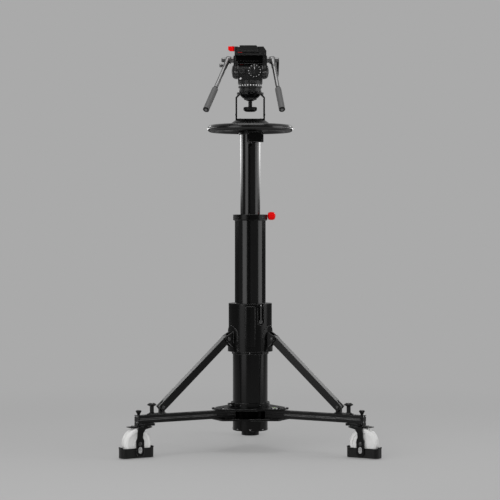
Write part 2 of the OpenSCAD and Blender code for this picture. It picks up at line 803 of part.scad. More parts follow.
module head_base() {
    color([0.06, 0.06, 0.06]) {
        translate([0, 0, bowl_top_z + base_lift])
            cylinder(r1 = head_base_r, r2 = head_base_r - 3, h = head_base_h - base_lift);
        difference() {
            translate([0, 0, bowl_top_z]) sphere(r = ball_r);
            translate([0, 0, bowl_top_z + base_lift + cut]) cylinder(r = 2 * ball_r, h = 2 * ball_r);
        }
        translate([0, 0, bowl_top_z - bowl_depth - 8]) cylinder(r = 27, h = 3);
        translate([0, 0, pan_ring_z - cut]) cylinder(r = neck_r, h = pan_ring_h + cut);
    }
}

module bowl_knob() {
    stem_z = bowl_top_z - ball_r - seat - stem_len;
    slope_h = 5;
    color([0.04, 0.04, 0.04]) {
        translate([0, 0, stem_z]) cylinder(r = stem_r, h = stem_len);
        translate([0, 0, stem_z - bowl_knob_h + slope_h]) cylinder(r = bowl_knob_r, h = bowl_knob_h - slope_h);
        translate([0, 0, stem_z - bowl_knob_h]) cylinder(r1 = bowl_knob_r - 8, r2 = bowl_knob_r, h = slope_h);
    }
}

module pan_ring() {
    color([0.08, 0.08, 0.08]) translate([0, 0, pan_ring_z]) difference() {
        cylinder(r = pan_ring_r, h = pan_ring_h);
        translate([0, 0, -cut]) cylinder(r = neck_r + seat, h = pan_ring_h + 2 * cut);
    }
}

module head_body() {
    color([0.07, 0.07, 0.07]) {
        difference() {
            union() {
                translate([-head_body_w / 2, -head_body_d / 2, head_body_z])
                    cube([head_body_w, head_body_d, tilt_z - head_body_z]);
                translate([-head_body_w / 2, 0, tilt_z]) rotate([0, 90, 0])
                    cylinder(r = head_body_d / 2, h = head_body_w);
            }
            translate([dial_x, -head_body_d / 2 - cut, tilt_z]) rotate([-90, 0, 0])
                cylinder(r = dial_pin_r + pin_gap, h = dial_pin_l + 2 * cut);
        }
        translate([-tilt_pin_x, 0, tilt_z]) rotate([0, 90, 0]) cylinder(r = tilt_pin_r, h = 2 * tilt_pin_x);
    }
}

module tilt_dial() {
    color([0.05, 0.05, 0.05]) translate([dial_x, -head_body_d / 2, tilt_z]) rotate([90, 0, 0]) {
        translate([0, 0, seat]) cylinder(r = dial_r, h = dial_t);
        translate([0, 0, dial_t]) cylinder(r1 = dial_r - 6, r2 = dial_r - 8, h = dial_boss_h);
        translate([0, 0, -dial_pin_l]) cylinder(r = dial_pin_r, h = dial_pin_l + cut);
    }
}

// One barrel of the tilt frame, its outer corner rounded
module tilt_cheek() {
    rotate_extrude() union() {
        square([cheek_r, cheek_t - cheek_round]);
        square([cheek_r - cheek_round, cheek_t]);
        translate([cheek_r - cheek_round, cheek_t - cheek_round]) intersection() {
            circle(r = cheek_round);
            square(cheek_round);
        }
    }
}

module tilt_frame() {
    color([0.06, 0.06, 0.06]) difference() {
        union() {
            for (s = [-1, 1]) translate([s * cheek_x, 0, tilt_z]) rotate([0, s * 90, 0]) tilt_cheek();
            for (s = [-1, 1]) translate([s > 0 ? cheek_x : -cheek_x - arm_over_cheek, -arm_d / 2, tilt_z])
                cube([arm_over_cheek, arm_d, bridge_z + bridge_t - seat - tilt_z]);
            translate([-bridge_w / 2, -bridge_d / 2, bridge_z]) cube([bridge_w, bridge_d, bridge_t - seat]);
            translate([-cheek_x, -rib_d / 2, tilt_z + head_body_d / 2 + cheek_gap])
                cube([2 * cheek_x, rib_d, bridge_z - tilt_z - head_body_d / 2]);
            for (s = [-1, 1]) translate([s > 0 ? cheek_x : -cheek_x - shaft_l, 0, bar_pivot_z])
                rotate([0, 90, 0]) cylinder(r = shaft_r, h = shaft_l);
        }
        translate([-tilt_pin_x - seat, 0, tilt_z]) rotate([0, 90, 0])
            cylinder(r = tilt_pin_r + pin_gap, h = 2 * (tilt_pin_x + seat));
    }
}

module plate_seat() {
    left = plate_off - plate_w / 2 - seat - jaw_w;
    box_x = plate_off + plate_w / 2 + seat;
    right = box_x + side_box_w;
    color([0.06, 0.06, 0.06]) translate([0, 0, plate_z]) union() {
        translate([left, -seat_l / 2, 0]) cube([right - left, seat_l, seat_t]);
        translate([left, -seat_l / 2, 0]) cube([jaw_w, seat_l, jaw_t]);
        translate([0, seat_l / 2, 0]) rotate([90, 0, 0]) linear_extrude(seat_l)
            polygon([[box_x, 0], [right, 0], [right, jaw_t - 1.5 * side_slope], [right - side_slope, jaw_t],
                     [box_x, jaw_t]]);
    }
}

module camera_plate() {
    edge_z = plate_t - plate_edge;
    ridge = plate_w / 2 - plate_edge;
    foot_l = plate_l - 2 * plate_step;
    color([0.08, 0.08, 0.08]) translate([plate_off, 0, plate_z + seat_t]) difference() {
        union() {
            translate([-plate_w / 2, -foot_l / 2, 0]) cube([plate_w, foot_l, plate_foot_h + cut]);
            translate([-plate_w / 2, -plate_l / 2, plate_foot_h])
                cube([plate_w, plate_l, edge_z - plate_foot_h]);
            translate([0, plate_l / 2, 0]) rotate([90, 0, 0]) linear_extrude(plate_l)
                polygon([[-ridge, edge_z - cut], [-ridge, plate_t], [ridge, plate_t], [plate_w / 2, edge_z],
                         [plate_w / 2, edge_z - cut]]);
        }
        translate([0, large_screw_y, -cut]) cylinder(r = large_screw_r, h = plate_t + 2 * cut);
        translate([0, 0, -cut]) cylinder(r = small_screw_r, h = plate_t + 2 * cut);
    }
}

module plate_lever() {
    color([0.9, 0.02, 0.02]) translate([lever_x, -seat_l / 2 + 10, plate_z + lever_rise]) {
        cylinder(r = lever_boss_r, h = lever_h);
        upright(2 * lever_boss_r - 2)
            polygon([[0, 0], [0, lever_h], [-lever_l, lever_h], [-lever_l, 6], [-lever_l + 8, 0]]);
    }
}

// Where a bar starts and which way it points: side is -1 on the left and 1 on the right
module handle_place(side) {
    splay = side > 0 ? bar_splay_right : -bar_splay_left;
    translate([side * bar_pivot_x, 0, bar_pivot_z]) rotate([0, 0, splay]) rotate([90 + bar_pitch, 0, 0])
        children();
}

module handle(side) {
    inner = cheek_x + shaft_l + seat;
    outer_l = 24;
    color([0.08, 0.08, 0.08]) union() {
        translate([side > 0 ? inner : -bar_pivot_x, 0, bar_pivot_z]) rotate([0, 90, 0])
            cylinder(r = rosette_r, h = bar_pivot_x - inner);
        translate([side * bar_pivot_x, 0, bar_pivot_z]) sphere(r = rosette_r - 1);
        translate([side > 0 ? bar_pivot_x : -bar_pivot_x - outer_l, 0, bar_pivot_z]) rotate([0, 90, 0])
            cylinder(r = 10, h = outer_l);
        handle_place(side) cylinder(r = bar_r, h = bar_len - grip_len + bar_in_grip);
    }
}

module grip(side) {
    neck = 6;
    end = 4;
    color([0.35, 0.35, 0.35]) handle_place(side) translate([0, 0, bar_len - grip_len]) difference() {
        union() {
            cylinder(r1 = grip_r - 4, r2 = grip_r, h = neck);
            translate([0, 0, neck]) cylinder(r = grip_r, h = grip_len - neck - end);
            translate([0, 0, grip_len - end]) cylinder(r1 = grip_r, r2 = grip_r - 3, h = end);
        }
        translate([0, 0, -cut]) cylinder(r = bar_r + pin_gap, h = bar_in_grip + cut + seat);
    }
}

hub_lower_plate();
hub_upper_plate();
core_tube();
base_cup();
base_tube();
housing();
clamp_ring();
spirit_level();
air_valve();
hub_bolts();
brace_pins();
along(leg_angle_left) leg();  // leg_left
along(leg_angle_right) leg();  // leg_right
along(leg_angle_rear) leg();  // leg_rear
along(leg_angle_left) leg_end();  // leg_end_left
along(leg_angle_right) leg_end();  // leg_end_right
along(leg_angle_rear) leg_end();  // leg_end_rear
along(leg_angle_left) lock_knob();  // lock_knob_left
along(leg_angle_right) lock_knob();  // lock_knob_right
along(leg_angle_rear) lock_knob();  // lock_knob_rear
along(leg_angle_left) fork();  // fork_left
along(leg_angle_right) fork();  // fork_right
along(leg_angle_rear) fork();  // fork_rear
along(leg_angle_left) wheel();  // wheel_left
along(leg_angle_right) wheel();  // wheel_right
along(leg_angle_rear) wheel();  // wheel_rear
along(leg_angle_left) guard();  // guard_left
along(leg_angle_right) guard();  // guard_right
along(leg_angle_rear) guard();  // guard_rear
along(leg_angle_left) brace();  // brace_left
along(leg_angle_right) brace();  // brace_right
along(leg_angle_rear) brace();  // brace_rear
along(leg_angle_left) brace_foot_part();  // brace_foot_left
along(leg_angle_right) brace_foot_part();  // brace_foot_right
along(leg_angle_rear) brace_foot_part();  // brace_foot_rear
along(leg_angle_left) pull_knob();  // pull_knob_left
along(leg_angle_right) pull_knob();  // pull_knob_right
along(leg_angle_rear) pull_knob();  // pull_knob_rear
mid_tube();
mid_collar();
clamp_knob();
top_tube();
ring_rim();
ring_hub();
valve_block();
bowl_stand();
bowl_knob();
head_base();
pan_ring();
head_body();
tilt_dial();
tilt_frame();
plate_seat();
camera_plate();
plate_lever();
handle(-1);  // handle_left
grip(-1);  // grip_left
handle(1);  // handle_right
grip(1);  // grip_right
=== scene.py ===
import json
import math

import bmesh
import bpy
from mathutils import Matrix, Vector


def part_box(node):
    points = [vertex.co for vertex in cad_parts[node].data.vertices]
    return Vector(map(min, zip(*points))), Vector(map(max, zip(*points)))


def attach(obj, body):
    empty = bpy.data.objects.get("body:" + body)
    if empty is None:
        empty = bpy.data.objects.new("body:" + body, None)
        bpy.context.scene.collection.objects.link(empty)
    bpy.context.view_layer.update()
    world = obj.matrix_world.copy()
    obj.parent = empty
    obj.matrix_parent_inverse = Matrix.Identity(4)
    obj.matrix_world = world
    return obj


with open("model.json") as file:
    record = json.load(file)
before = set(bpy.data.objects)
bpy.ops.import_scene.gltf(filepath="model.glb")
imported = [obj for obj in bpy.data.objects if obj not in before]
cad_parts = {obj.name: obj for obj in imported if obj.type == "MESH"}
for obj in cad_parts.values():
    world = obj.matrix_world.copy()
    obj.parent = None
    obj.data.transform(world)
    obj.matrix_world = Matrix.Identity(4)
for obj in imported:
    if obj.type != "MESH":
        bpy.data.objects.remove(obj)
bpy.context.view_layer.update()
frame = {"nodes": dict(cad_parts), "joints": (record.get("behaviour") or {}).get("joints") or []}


# Studio
# A plain grey floor and surround, lit by soft boxes at the left, at the right, overhead
# and low in front. Curved walls that the camera doesn't see show in the gloss of the tubes:
# dark ones in front, and tall and high strips of light behind that light nothing else.
def new_object(name, data):
    thing = bpy.data.objects.new(name, data)
    bpy.context.scene.collection.objects.link(thing)
    return thing


def set_up_camera():
    distance, eye_height, tilt = 7.30, 0.954, 89.2
    data = bpy.data.cameras.new("camera")
    data.sensor_width = 36.0
    data.lens = 123.4
    camera = new_object("camera", data)
    camera.location = (-0.001, -distance, eye_height)
    camera.rotation_euler = (math.radians(tilt), 0.0, 0.0)
    bpy.context.scene.camera = camera


def soft_box(name, azimuth, distance, height, wide, tall, radiance, aim_height, shines=True):
    """A rectangular lamp at an azimuth from the front, aimed at a height on the column's axis."""
    data = bpy.data.lights.new(name, "AREA")
    data.shape = "RECTANGLE"
    data.size, data.size_y = wide, tall
    data.energy = radiance * math.pi * wide * tall
    lamp = new_object(name, data)
    turn = math.radians(azimuth)
    lamp.location = (math.sin(turn) * distance, -math.cos(turn) * distance, height)
    towards = Vector((0.0, 0.0, aim_height)) - lamp.location
    lamp.rotation_euler = towards.to_track_quat("-Z", "Y").to_euler()
    lamp.visible_camera = False
    lamp.visible_glossy = shines


def wall_paint(name, low, glow, fade):
    """A paint that only glows, from nothing at the wall's low edge to full over fade metres."""
    paint = bpy.data.materials.new(name)
    paint.use_nodes = True
    tree = paint.node_tree
    tree.nodes.clear()
    shine = tree.nodes.new("ShaderNodeEmission")
    shine.inputs["Color"].default_value = (1.0, 1.0, 1.0, 1.0)
    shine.inputs["Strength"].default_value = glow
    out = tree.nodes.new("ShaderNodeOutputMaterial")
    tree.links.new(shine.outputs[0], out.inputs["Surface"])
    if fade:
        place = tree.nodes.new("ShaderNodeTexCoord")
        split = tree.nodes.new("ShaderNodeSeparateXYZ")
        ramp = tree.nodes.new("ShaderNodeMapRange")
        tree.links.new(place.outputs["Object"], split.inputs[0])
        tree.links.new(split.outputs["Z"], ramp.inputs["Value"])
        ramp.inputs["From Min"].default_value = low
        ramp.inputs["From Max"].default_value = low + fade
        ramp.inputs["To Min"].default_value = 0.0
        ramp.inputs["To Max"].default_value = glow
        tree.links.new(ramp.outputs["Result"], shine.inputs["Strength"])
    return paint


def studio_wall(name, start, end, low, high, glow, fade=0.0, radius=5.4, lights=True):
    """A curved wall between two azimuths. Unless it lights, only reflections see it."""
    columns = 24
    points = []
    for i in range(columns + 1):
        turn = math.radians(start + (end - start) * i / columns)
        x, y = math.sin(turn) * radius, -math.cos(turn) * radius
        points += [(x, y, low), (x, y, high)]
    mesh = bpy.data.meshes.new(name)
    mesh.from_pydata(points, [], [(2 * i, 2 * i + 1, 2 * i + 3, 2 * i + 2) for i in range(columns)])
    mesh.materials.append(wall_paint(name, low, glow, fade))
    wall = new_object(name, mesh)
    wall.visible_camera = False
    wall.visible_shadow = False
    wall.visible_diffuse = lights


def floor_paint(shade, backdrop):
    """Matt grey under the object that fades into the even grey of the surround."""
    paint = bpy.data.materials.new("floor")
    paint.use_nodes = True
    tree = paint.node_tree
    shader = tree.nodes["Principled BSDF"]
    shader.inputs["Base Color"].default_value = (shade, shade, shade, 1.0)
    shader.inputs["Roughness"].default_value = 0.9
    shader.inputs["Specular IOR Level"].default_value = 0.0
    place = tree.nodes.new("ShaderNodeTexCoord")
    away = tree.nodes.new("ShaderNodeVectorMath")
    away.operation = "LENGTH"
    tree.links.new(place.outputs["Object"], away.inputs[0])
    fade = tree.nodes.new("ShaderNodeMapRange")
    fade.interpolation_type = "SMOOTHSTEP"
    fade.inputs["From Min"].default_value = 0.9
    fade.inputs["From Max"].default_value = 3.2
    fade.inputs["To Min"].default_value = 0.5
    tree.links.new(away.outputs["Value"], fade.inputs["Value"])
    glow = tree.nodes.new("ShaderNodeEmission")
    glow.inputs["Color"].default_value = (backdrop, backdrop, backdrop, 1.0)
    blend = tree.nodes.new("ShaderNodeMixShader")
    tree.links.new(fade.outputs["Result"], blend.inputs[0])
    tree.links.new(shader.outputs[0], blend.inputs[1])
    tree.links.new(glow.outputs[0], blend.inputs[2])
    tree.links.new(blend.outputs[0], tree.nodes["Material Output"].inputs["Surface"])
    return paint


def lay_floor(shade, backdrop, half=60.0):
    corners = [(-half, -half, 0), (half, -half, 0), (half, half, 0), (-half, half, 0)]
    mesh = bpy.data.meshes.new("floor")
    mesh.from_pydata(corners, [], [(0, 1, 2, 3)])
    mesh.materials.append(floor_paint(shade, backdrop))
    floor = new_object("floor", mesh)


def light_the_surround(shade):
    world = bpy.data.worlds.new("surround")
    bpy.context.scene.world = world
    world.use_nodes = True
    world.node_tree.nodes["Background"].inputs["Color"].default_value = (shade, shade, shade, 1.0)
    world.node_tree.nodes["Background"].inputs["Strength"].default_value = 1.0


set_up_camera()
surround_grey = 0.402
lay_floor(0.62, surround_grey)
light_the_surround(surround_grey)
soft_box("box_left", azimuth=-42, distance=3.6, height=1.5, wide=2.1, tall=3.4, radiance=1.5, aim_height=1.0)
soft_box("box_right", azimuth=80, distance=3.6, height=1.5, wide=2.3, tall=3.4, radiance=1.5, aim_height=1.0)
soft_box("box_top", azimuth=0, distance=0.4, height=4.6, wide=2.6, tall=2.6, radiance=2.1, aim_height=0.5)
soft_box("box_fill", azimuth=-6, distance=4.2, height=1.1, wide=2.6, tall=2.2, radiance=3.2, aim_height=0.6,
         shines=False)
studio_wall("wall_front", -96, 96, low=-0.5, high=5.0, glow=0.13)
studio_wall("wall_black", -23, 1, low=-0.5, high=5.0, glow=0.0, radius=5.2)
studio_wall("wall_back", 96, 264, low=-0.5, high=1.13, glow=0.05, lights=False)
studio_wall("strip_right", 98, 172, low=1.13, high=1.64, glow=4.4, fade=0.4, lights=False)
studio_wall("strip_left", 188, 262, low=1.13, high=1.64, glow=4.4, fade=0.4, lights=False)
studio_wall("high_right", 141, 154, low=2.7, high=3.5, glow=3.1, lights=False)
studio_wall("high_left", 206, 219, low=2.7, high=3.5, glow=3.1, lights=False)
bpy.context.scene.view_settings.view_transform = "Standard"


# Column tubes
# The telescoping tubes are aluminium, drawn, ground round and anodised black, so that they
# are smooth and glossy, with faint lines along their length. The core tube between the hub's
# plates is near-black and matt, as painted shade for the narrow gap between the plates.
class Level:
    """A number that changes over a surface; arithmetic on it adds maths nodes."""

    def __init__(self, finish, socket):
        self.finish, self.socket = finish, socket

    def _maths(self, kind, *values):
        return self.finish.add("ShaderNodeMath", {"operation": kind}, *values)

    def __add__(self, other):
        return self._maths("ADD", self, other)

    def __sub__(self, other):
        return self._maths("SUBTRACT", self, other)

    def __rsub__(self, other):
        return self._maths("SUBTRACT", other, self)

    def __mul__(self, other):
        return self._maths("MULTIPLY", self, other)

    def __gt__(self, other):
        return self._maths("GREATER_THAN", self, other)

    def __lt__(self, other):
        return self._maths("LESS_THAN", self, other)

    __radd__, __rmul__ = __add__, __mul__


class Finish:
    """One material: add() makes any node, feed() sets or links a socket of its shader."""

    def __init__(self, name):
        self.material = bpy.data.materials.new(name)
        self.material.use_nodes = True
        self.tree = self.material.node_tree
        self.shader = self.tree.nodes["Principled BSDF"]

    def put(self, socket, value):
        if isinstance(value, Level):
            self.tree.links.new(value.socket, socket)
        else:
            socket.default_value = value

    def add(self, kind, settings, *values, out=0, **named):
        """A node with its settings, its first sockets' values in order, and others' by name."""
        node = self.tree.nodes.new(kind)
        for key, value in settings.items():
            setattr(node, key, value)
        for socket, value in zip(node.inputs, values):
            if value is not None:
                self.put(socket, value)
        for key, value in named.items():
            self.put(node.inputs[key], value)
        return Level(self, node.outputs[out])

    def feed(self, **named):
        for key, value in named.items():
            self.put(self.shader.inputs[key.replace("_", " ")], value)

    def place(self, stretch=(1.0, 1.0, 1.0)):
        """Object coordinates in metres, stretched."""
        here = self.add("ShaderNodeTexCoord", {}, out=3)
        return self.add("ShaderNodeMapping", {}, here, Scale=stretch)

    def noise(self, stretch, scale, detail=3.0):
        return self.add("ShaderNodeTexNoise", {}, self.place(stretch), Scale=scale, Detail=detail)

    def mix(self, share, first, second):
        """A colour between two; the colour sockets come after five that it doesn't use."""
        return self.add("ShaderNodeMix", {"data_type": "RGBA"}, share, *[None] * 5, first, second, out=2)

    def rounded(self, radius):
        """The surface's normal with its edges rounded off."""
        return self.add("ShaderNodeBevel", {"samples": 4}, radius)

    def worn(self, rounded):
        """How strongly a point lies on an edge, from 0 to 1, for the lighter edges of wear and painted
        highlight.
        """
        flat = self.add("ShaderNodeNewGeometry", {}, out=1)
        same = self.add("ShaderNodeVectorMath", {"operation": "DOT_PRODUCT"}, rounded, flat, out=1)
        return self.add("ShaderNodeMath", {"operation": "MULTIPLY", "use_clamp": True}, 1.0 - same, 6.0)

    def skin(self, strength, depth, height, rounded):
        """Feeds the normal with fine relief laid over the rounded edges."""
        self.feed(Normal=self.add("ShaderNodeBump", {}, Strength=strength, Distance=depth, Height=height,
                                  Normal=rounded))


def grey(value):
    return (value, value, value, 1.0)


def dress(finish, *names):
    """Gives solids of the frame a finish."""
    for name in names:
        data = frame["nodes"][name].data
        data.materials.clear()
        data.materials.append(finish.material)
        for face in data.polygons:
            face.material_index = 0


EVEN = (1, 1, 1)
ALONG_Z = (1, 1, 0.02)


def anodised(name, tint, rough, stretch=EVEN, grain=0.0001, wear_and_highlight_tint=0.16, bevel=0.0008, gloss=0.5):
    """Black anodised aluminium: fine grain in its gloss, cloudy colour, and lighter edges, partly bare metal
    and partly painted highlight.
    """
    f = Finish(name)
    clouds = f.noise(EVEN, 9.0)
    lines = f.noise(stretch, 260.0, detail=2.0)
    rounded = f.rounded(bevel)
    # Lighter patches along the edges: bare metal worn through, and a painted highlight.
    wear_and_highlight_mask = f.worn(rounded) * (clouds > 0.47)
    base = f.mix(clouds, grey(tint * 0.7), grey(tint * 1.35))
    f.feed(Base_Color=f.mix(wear_and_highlight_mask * 0.5, base, grey(wear_and_highlight_tint)), Specular_IOR_Level=gloss)
    f.feed(Roughness=rough + lines * 0.07 + clouds * 0.05)
    f.skin(0.12, grain, lines, rounded)
    return f


tube_black = anodised("tube_black", tint=0.004, rough=0.09, stretch=ALONG_Z)
dress(tube_black, "mid_tube", "top_tube")
base_black = anodised("base_black", tint=0.002, rough=0.13, stretch=ALONG_Z, gloss=0.24)
dress(base_black, "base_tube")
# Near-black and matt, with no lighter edges: painted shade between the hub's plates.
core_shade_black = anodised("core_shade_black", tint=0.0008, rough=0.50, stretch=ALONG_Z, wear_and_highlight_tint=0.004, gloss=0.05)
dress(core_shade_black, "core_tube")


# Cast and machined parts
# Hub plates, housing, collars, castor forks and the head's parts are cast or cut from
# aluminium and anodised a satin black, which has worn a little on the edges; the lighter
# colour on their edges is also a painted highlight.
satin_black = anodised("satin_black", tint=0.002, rough=0.18, grain=0.0002, wear_and_highlight_tint=0.45, bevel=0.0014,
                       gloss=0.20)
dress(satin_black, "hub_lower_plate", "hub_upper_plate", "base_cup", "housing", "clamp_ring", "mid_collar",
      "ring_hub", "valve_block", "bowl_stand", "leg_end_left", "leg_end_right", "leg_end_rear",
      "fork_left", "fork_right", "fork_rear", "brace_foot_left", "brace_foot_right", "brace_foot_rear")
head_black = anodised("head_black", tint=0.012, rough=0.30, grain=0.0002, wear_and_highlight_tint=0.30, bevel=0.0014,
                      gloss=0.45)
dress(head_black, "head_body", "tilt_frame", "plate_seat", "camera_plate", "pan_ring", "tilt_dial",
      "head_base")


# Legs and braces
# Square and flat aluminium tubes, drawn and anodised black, with their faint lines along
# the leg and lighter long edges, partly bare metal and partly a painted highlight.
leg_black = anodised("leg_black", tint=0.002, rough=0.15, stretch=(0.02, 1, 1), wear_and_highlight_tint=0.45, bevel=0.0016,
                     gloss=0.28)
dress(leg_black, "leg_left", "leg_right", "leg_rear", "brace_left", "brace_right", "brace_rear")


# Steering ring's rim
# A ring bent from tube and finished black. Hands have polished its upper side, which
# has a glossy coat above the seam.
polish_start = 1.3590
ring_black = anodised("ring_black", tint=0.004, rough=0.22, gloss=0.18)
rim_height = ring_black.add("ShaderNodeSeparateXYZ", {}, ring_black.place(), out=2)
ring_black.feed(Coat_Weight=(rim_height > polish_start) * 0.8, Coat_Roughness=0.18)
dress(ring_black, "ring_rim")


# Wheels, guards, knobs and grips
# Moulded parts: white tread wheels, black nylon cable guards and knobs, ribbed grey
# rubber grips, and the red knob and lever. Each has the fine pebbled skin of its mould.
def moulded(name, colour, rough, depth=0.0002, gloss=0.5):
    """Moulded plastic or rubber: a fine pebbled skin with a little colour change."""
    f = Finish(name)
    pebbles = f.noise(EVEN, 900.0, detail=2.0)
    clouds = f.noise(EVEN, 14.0)
    darker = tuple(c * 0.82 for c in colour[:3]) + (1.0,)
    f.feed(Base_Color=f.mix(clouds, darker, colour), Specular_IOR_Level=gloss)
    f.feed(Roughness=rough + pebbles * 0.10)
    f.skin(0.25, depth, pebbles, f.rounded(0.001))
    return f


wheel_white = moulded("wheel_white", (0.88, 0.88, 0.87, 1.0), rough=0.30)
dress(wheel_white, "wheel_left", "wheel_right", "wheel_rear")
black_plastic = moulded("black_plastic", grey(0.005), rough=0.40, gloss=0.30)
dress(black_plastic, "guard_left", "guard_right", "guard_rear", "lock_knob_left", "lock_knob_right",
      "lock_knob_rear", "pull_knob_left", "pull_knob_right", "pull_knob_rear", "bowl_knob")
grip_rubber = moulded("grip_rubber", grey(0.115), rough=0.55)
dress(grip_rubber, "grip_left", "grip_right")
red_plastic = moulded("red_plastic", (1.0, 0.002, 0.002, 1.0), rough=0.40, gloss=0.15)
dress(red_plastic, "clamp_knob", "plate_lever")


# Bare metal parts
# The level's cup is bright turned metal, bolts, pins and valve are dark steel, and the
# pan bars are brushed aluminium. All keep the fine scratches of the tool.
def bare_metal(name, tint, rough):
    f = Finish(name)
    scratches = f.noise((1, 1, 0.05), 300.0, detail=2.0)
    f.feed(Base_Color=f.mix(scratches, grey(tint * 0.8), grey(tint)), Metallic=1.0)
    f.feed(Roughness=rough + scratches * 0.12, Normal=f.rounded(0.0006))
    return f


bright_metal = bare_metal("bright_metal", tint=0.62, rough=0.18)
dress(bright_metal, "spirit_level")
dark_steel = bare_metal("dark_steel", tint=0.10, rough=0.28)
dress(dark_steel, "hub_bolts", "brace_pins", "air_valve")
bar_metal = bare_metal("bar_metal", tint=0.24, rough=0.30)
dress(bar_metal, "handle_left", "handle_right")


# Screws of the base cup and the clamp ring
# Small steel button screws hold the cup under the hub and close the ring above it. They
# are bought parts, pressed out of rod with a hexagon socket, and set on one circle each.
def top(node):
    """Where a solid of the frame ends above, to a tenth of a millimetre."""
    return round(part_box(node)[1].z, 4)


def bottom(node):
    return round(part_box(node)[0].z, 4)


def right(node):
    """Where a solid ends on the right, which is the radius of one round the column's axis."""
    return round(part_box(node)[1].x, 4)


def moved(x=0.0, y=0.0, z=0.0):
    return Matrix.Translation((x, y, z))


def turned_by(degrees, axis):
    return Matrix.Rotation(math.radians(degrees), 4, axis)


def turned(profile, steps=32):
    """A closed solid of revolution about Z from (radius, height) points, first and last on the axis."""
    shape = bmesh.new()
    angles = [2 * math.pi * i / steps for i in range(steps)]
    rings = []
    for radius, height in profile:
        around = angles if radius else angles[:1]
        rings.append([shape.verts.new((radius * math.cos(a), radius * math.sin(a), height)) for a in around])
    for lower, upper in zip(rings, rings[1:]):
        for i in range(steps):
            around = ((lower, i), (lower, i + 1), (upper, i + 1), (upper, i))
            corners = list(dict.fromkeys(ring[k % len(ring)] for ring, k in around))
            if len(corners) > 2:
                shape.faces.new(corners)
    bmesh.ops.recalc_face_normals(shape, faces=shape.faces)
    return shape


def screw_head(radius, height, socket):
    """A button head whose top is on +X: a low dome with a round-bottomed socket."""
    profile = [(0, -0.001), (radius, -0.001), (radius, height * 0.35), (radius * 0.8, height * 0.85),
               (socket * 1.15, height), (socket, height), (socket * 0.9, height * 0.3), (0, height * 0.2)]
    head = turned(profile, steps=20)
    head.transform(turned_by(90, "Y"))
    return head


def to_mesh(shape, name, finish):
    mesh = bpy.data.meshes.new(name)
    shape.to_mesh(mesh)
    shape.free()
    mesh.materials.append(finish.material)
    mesh.shade_smooth()
    mesh.set_sharp_from_angle(angle=math.radians(32))
    return mesh


def round_row_tree():
    """Sets copies of a part on a circle: inputs Part, Count, Radius, First, Step, Finish."""
    tree = bpy.data.node_groups.new("round_row", "GeometryNodeTree")
    kinds = {"Part": "Object", "Count": "Int", "Radius": "Float", "First": "Float", "Step": "Float",
             "Finish": "Material"}
    tree.interface.new_socket("Geometry", in_out="OUTPUT", socket_type="NodeSocketGeometry")
    for label, kind in kinds.items():
        tree.interface.new_socket(label, in_out="INPUT", socket_type="NodeSocket" + kind)
    entry = tree.nodes.new("NodeGroupInput").outputs

    def add(kind, *sources, operation=None, out=0, **named):
        """A node fed in order by outputs of other nodes, or by name."""
        node = tree.nodes.new(kind)
        if operation:
            node.operation = operation
        for socket, source in zip(node.inputs, sources):
            tree.links.new(source, socket)
        for label, source in named.items():
            tree.links.new(source, node.inputs[label])
        return node.outputs[out]

    turn = add("ShaderNodeMath", add("GeometryNodeInputIndex"), entry["Step"], operation="MULTIPLY")
    angle = add("ShaderNodeMath", turn, entry["First"], operation="ADD")
    reach = []
    for wave in ("COSINE", "SINE"):
        share = add("ShaderNodeMath", angle, operation=wave)
        reach.append(add("ShaderNodeMath", share, entry["Radius"], operation="MULTIPLY"))
    place = add("ShaderNodeCombineXYZ", *reach)
    spin = add("ShaderNodeCombineXYZ", Z=angle)
    points = add("GeometryNodePoints", Count=entry["Count"], Position=place)
    part = add("GeometryNodeObjectInfo", Object=entry["Part"], out="Geometry")
    copies = add("GeometryNodeInstanceOnPoints", Points=points, Instance=part, Rotation=spin)
    solid = add("GeometryNodeRealizeInstances", copies)
    painted = add("GeometryNodeSetMaterial", solid, Material=entry["Finish"])
    tree.links.new(painted, tree.nodes.new("NodeGroupOutput").inputs[0])
    return tree


ROUND_ROW = round_row_tree()


def round_row(name, shape, finish, body, count, radius, at, first=0.0):
    """Copies of a shape set round the Z axis of the place at, outward side on +X, as one piece."""
    part = new_object(name + "_part", to_mesh(shape, name + "_part", finish))
    host = new_object(name, bpy.data.meshes.new(name + "_host"))
    rows = host.modifiers.new("row", "NODES")
    rows.node_group = ROUND_ROW
    wanted = {"Part": part, "Count": count, "Radius": radius, "First": math.radians(first),
              "Step": math.radians(360.0 / count), "Finish": finish.material}
    for item in ROUND_ROW.interface.items_tree:
        if item.in_out == "INPUT":
            rows[item.identifier] = wanted[item.name]
    view = bpy.context.evaluated_depsgraph_get()
    mesh = bpy.data.meshes.new_from_object(host.evaluated_get(view))
    bpy.data.objects.remove(host)
    bpy.data.objects.remove(part)
    mesh.name = name
    mesh.transform(at)
    piece = new_object(name, mesh)
    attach(piece, body)


cup_screw = screw_head(radius=0.0032, height=0.0016, socket=0.0016)
cup_screws_height = bottom("base_cup") + 0.0275
round_row("cup_screws", cup_screw, bright_metal, "base", count=8, radius=right("base_cup"),
          at=moved(z=cup_screws_height), first=-90)
ring_screw = screw_head(radius=0.003, height=0.0014, socket=0.0014)
ring_middle = (bottom("clamp_ring") + top("clamp_ring")) / 2
round_row("clamp_ring_screws", ring_screw, dark_steel, "base", count=6,
          radius=right("clamp_ring"), at=moved(z=ring_middle), first=-60)


# Castor fittings
# Each moulded wheel has a pressed steel bearing cap on both sides, and a nut on its axle.
# A grey moulded pad with a bolt fills the slot of each fork arm, and a ribbed pedal lies on top.
LEGS = {"left": 210.0, "right": 330.0, "rear": 90.0}


def leg_place(side):
    """Turns what is made along +X onto a leg."""
    return turned_by(LEGS[side], "Z")


def joint_at(name):
    """Where a joint's axis lies at rest, as x, y and z; the rear leg's lie along y."""
    return next(joint["pos_m"] for joint in frame["joints"] if joint["name"] == name)


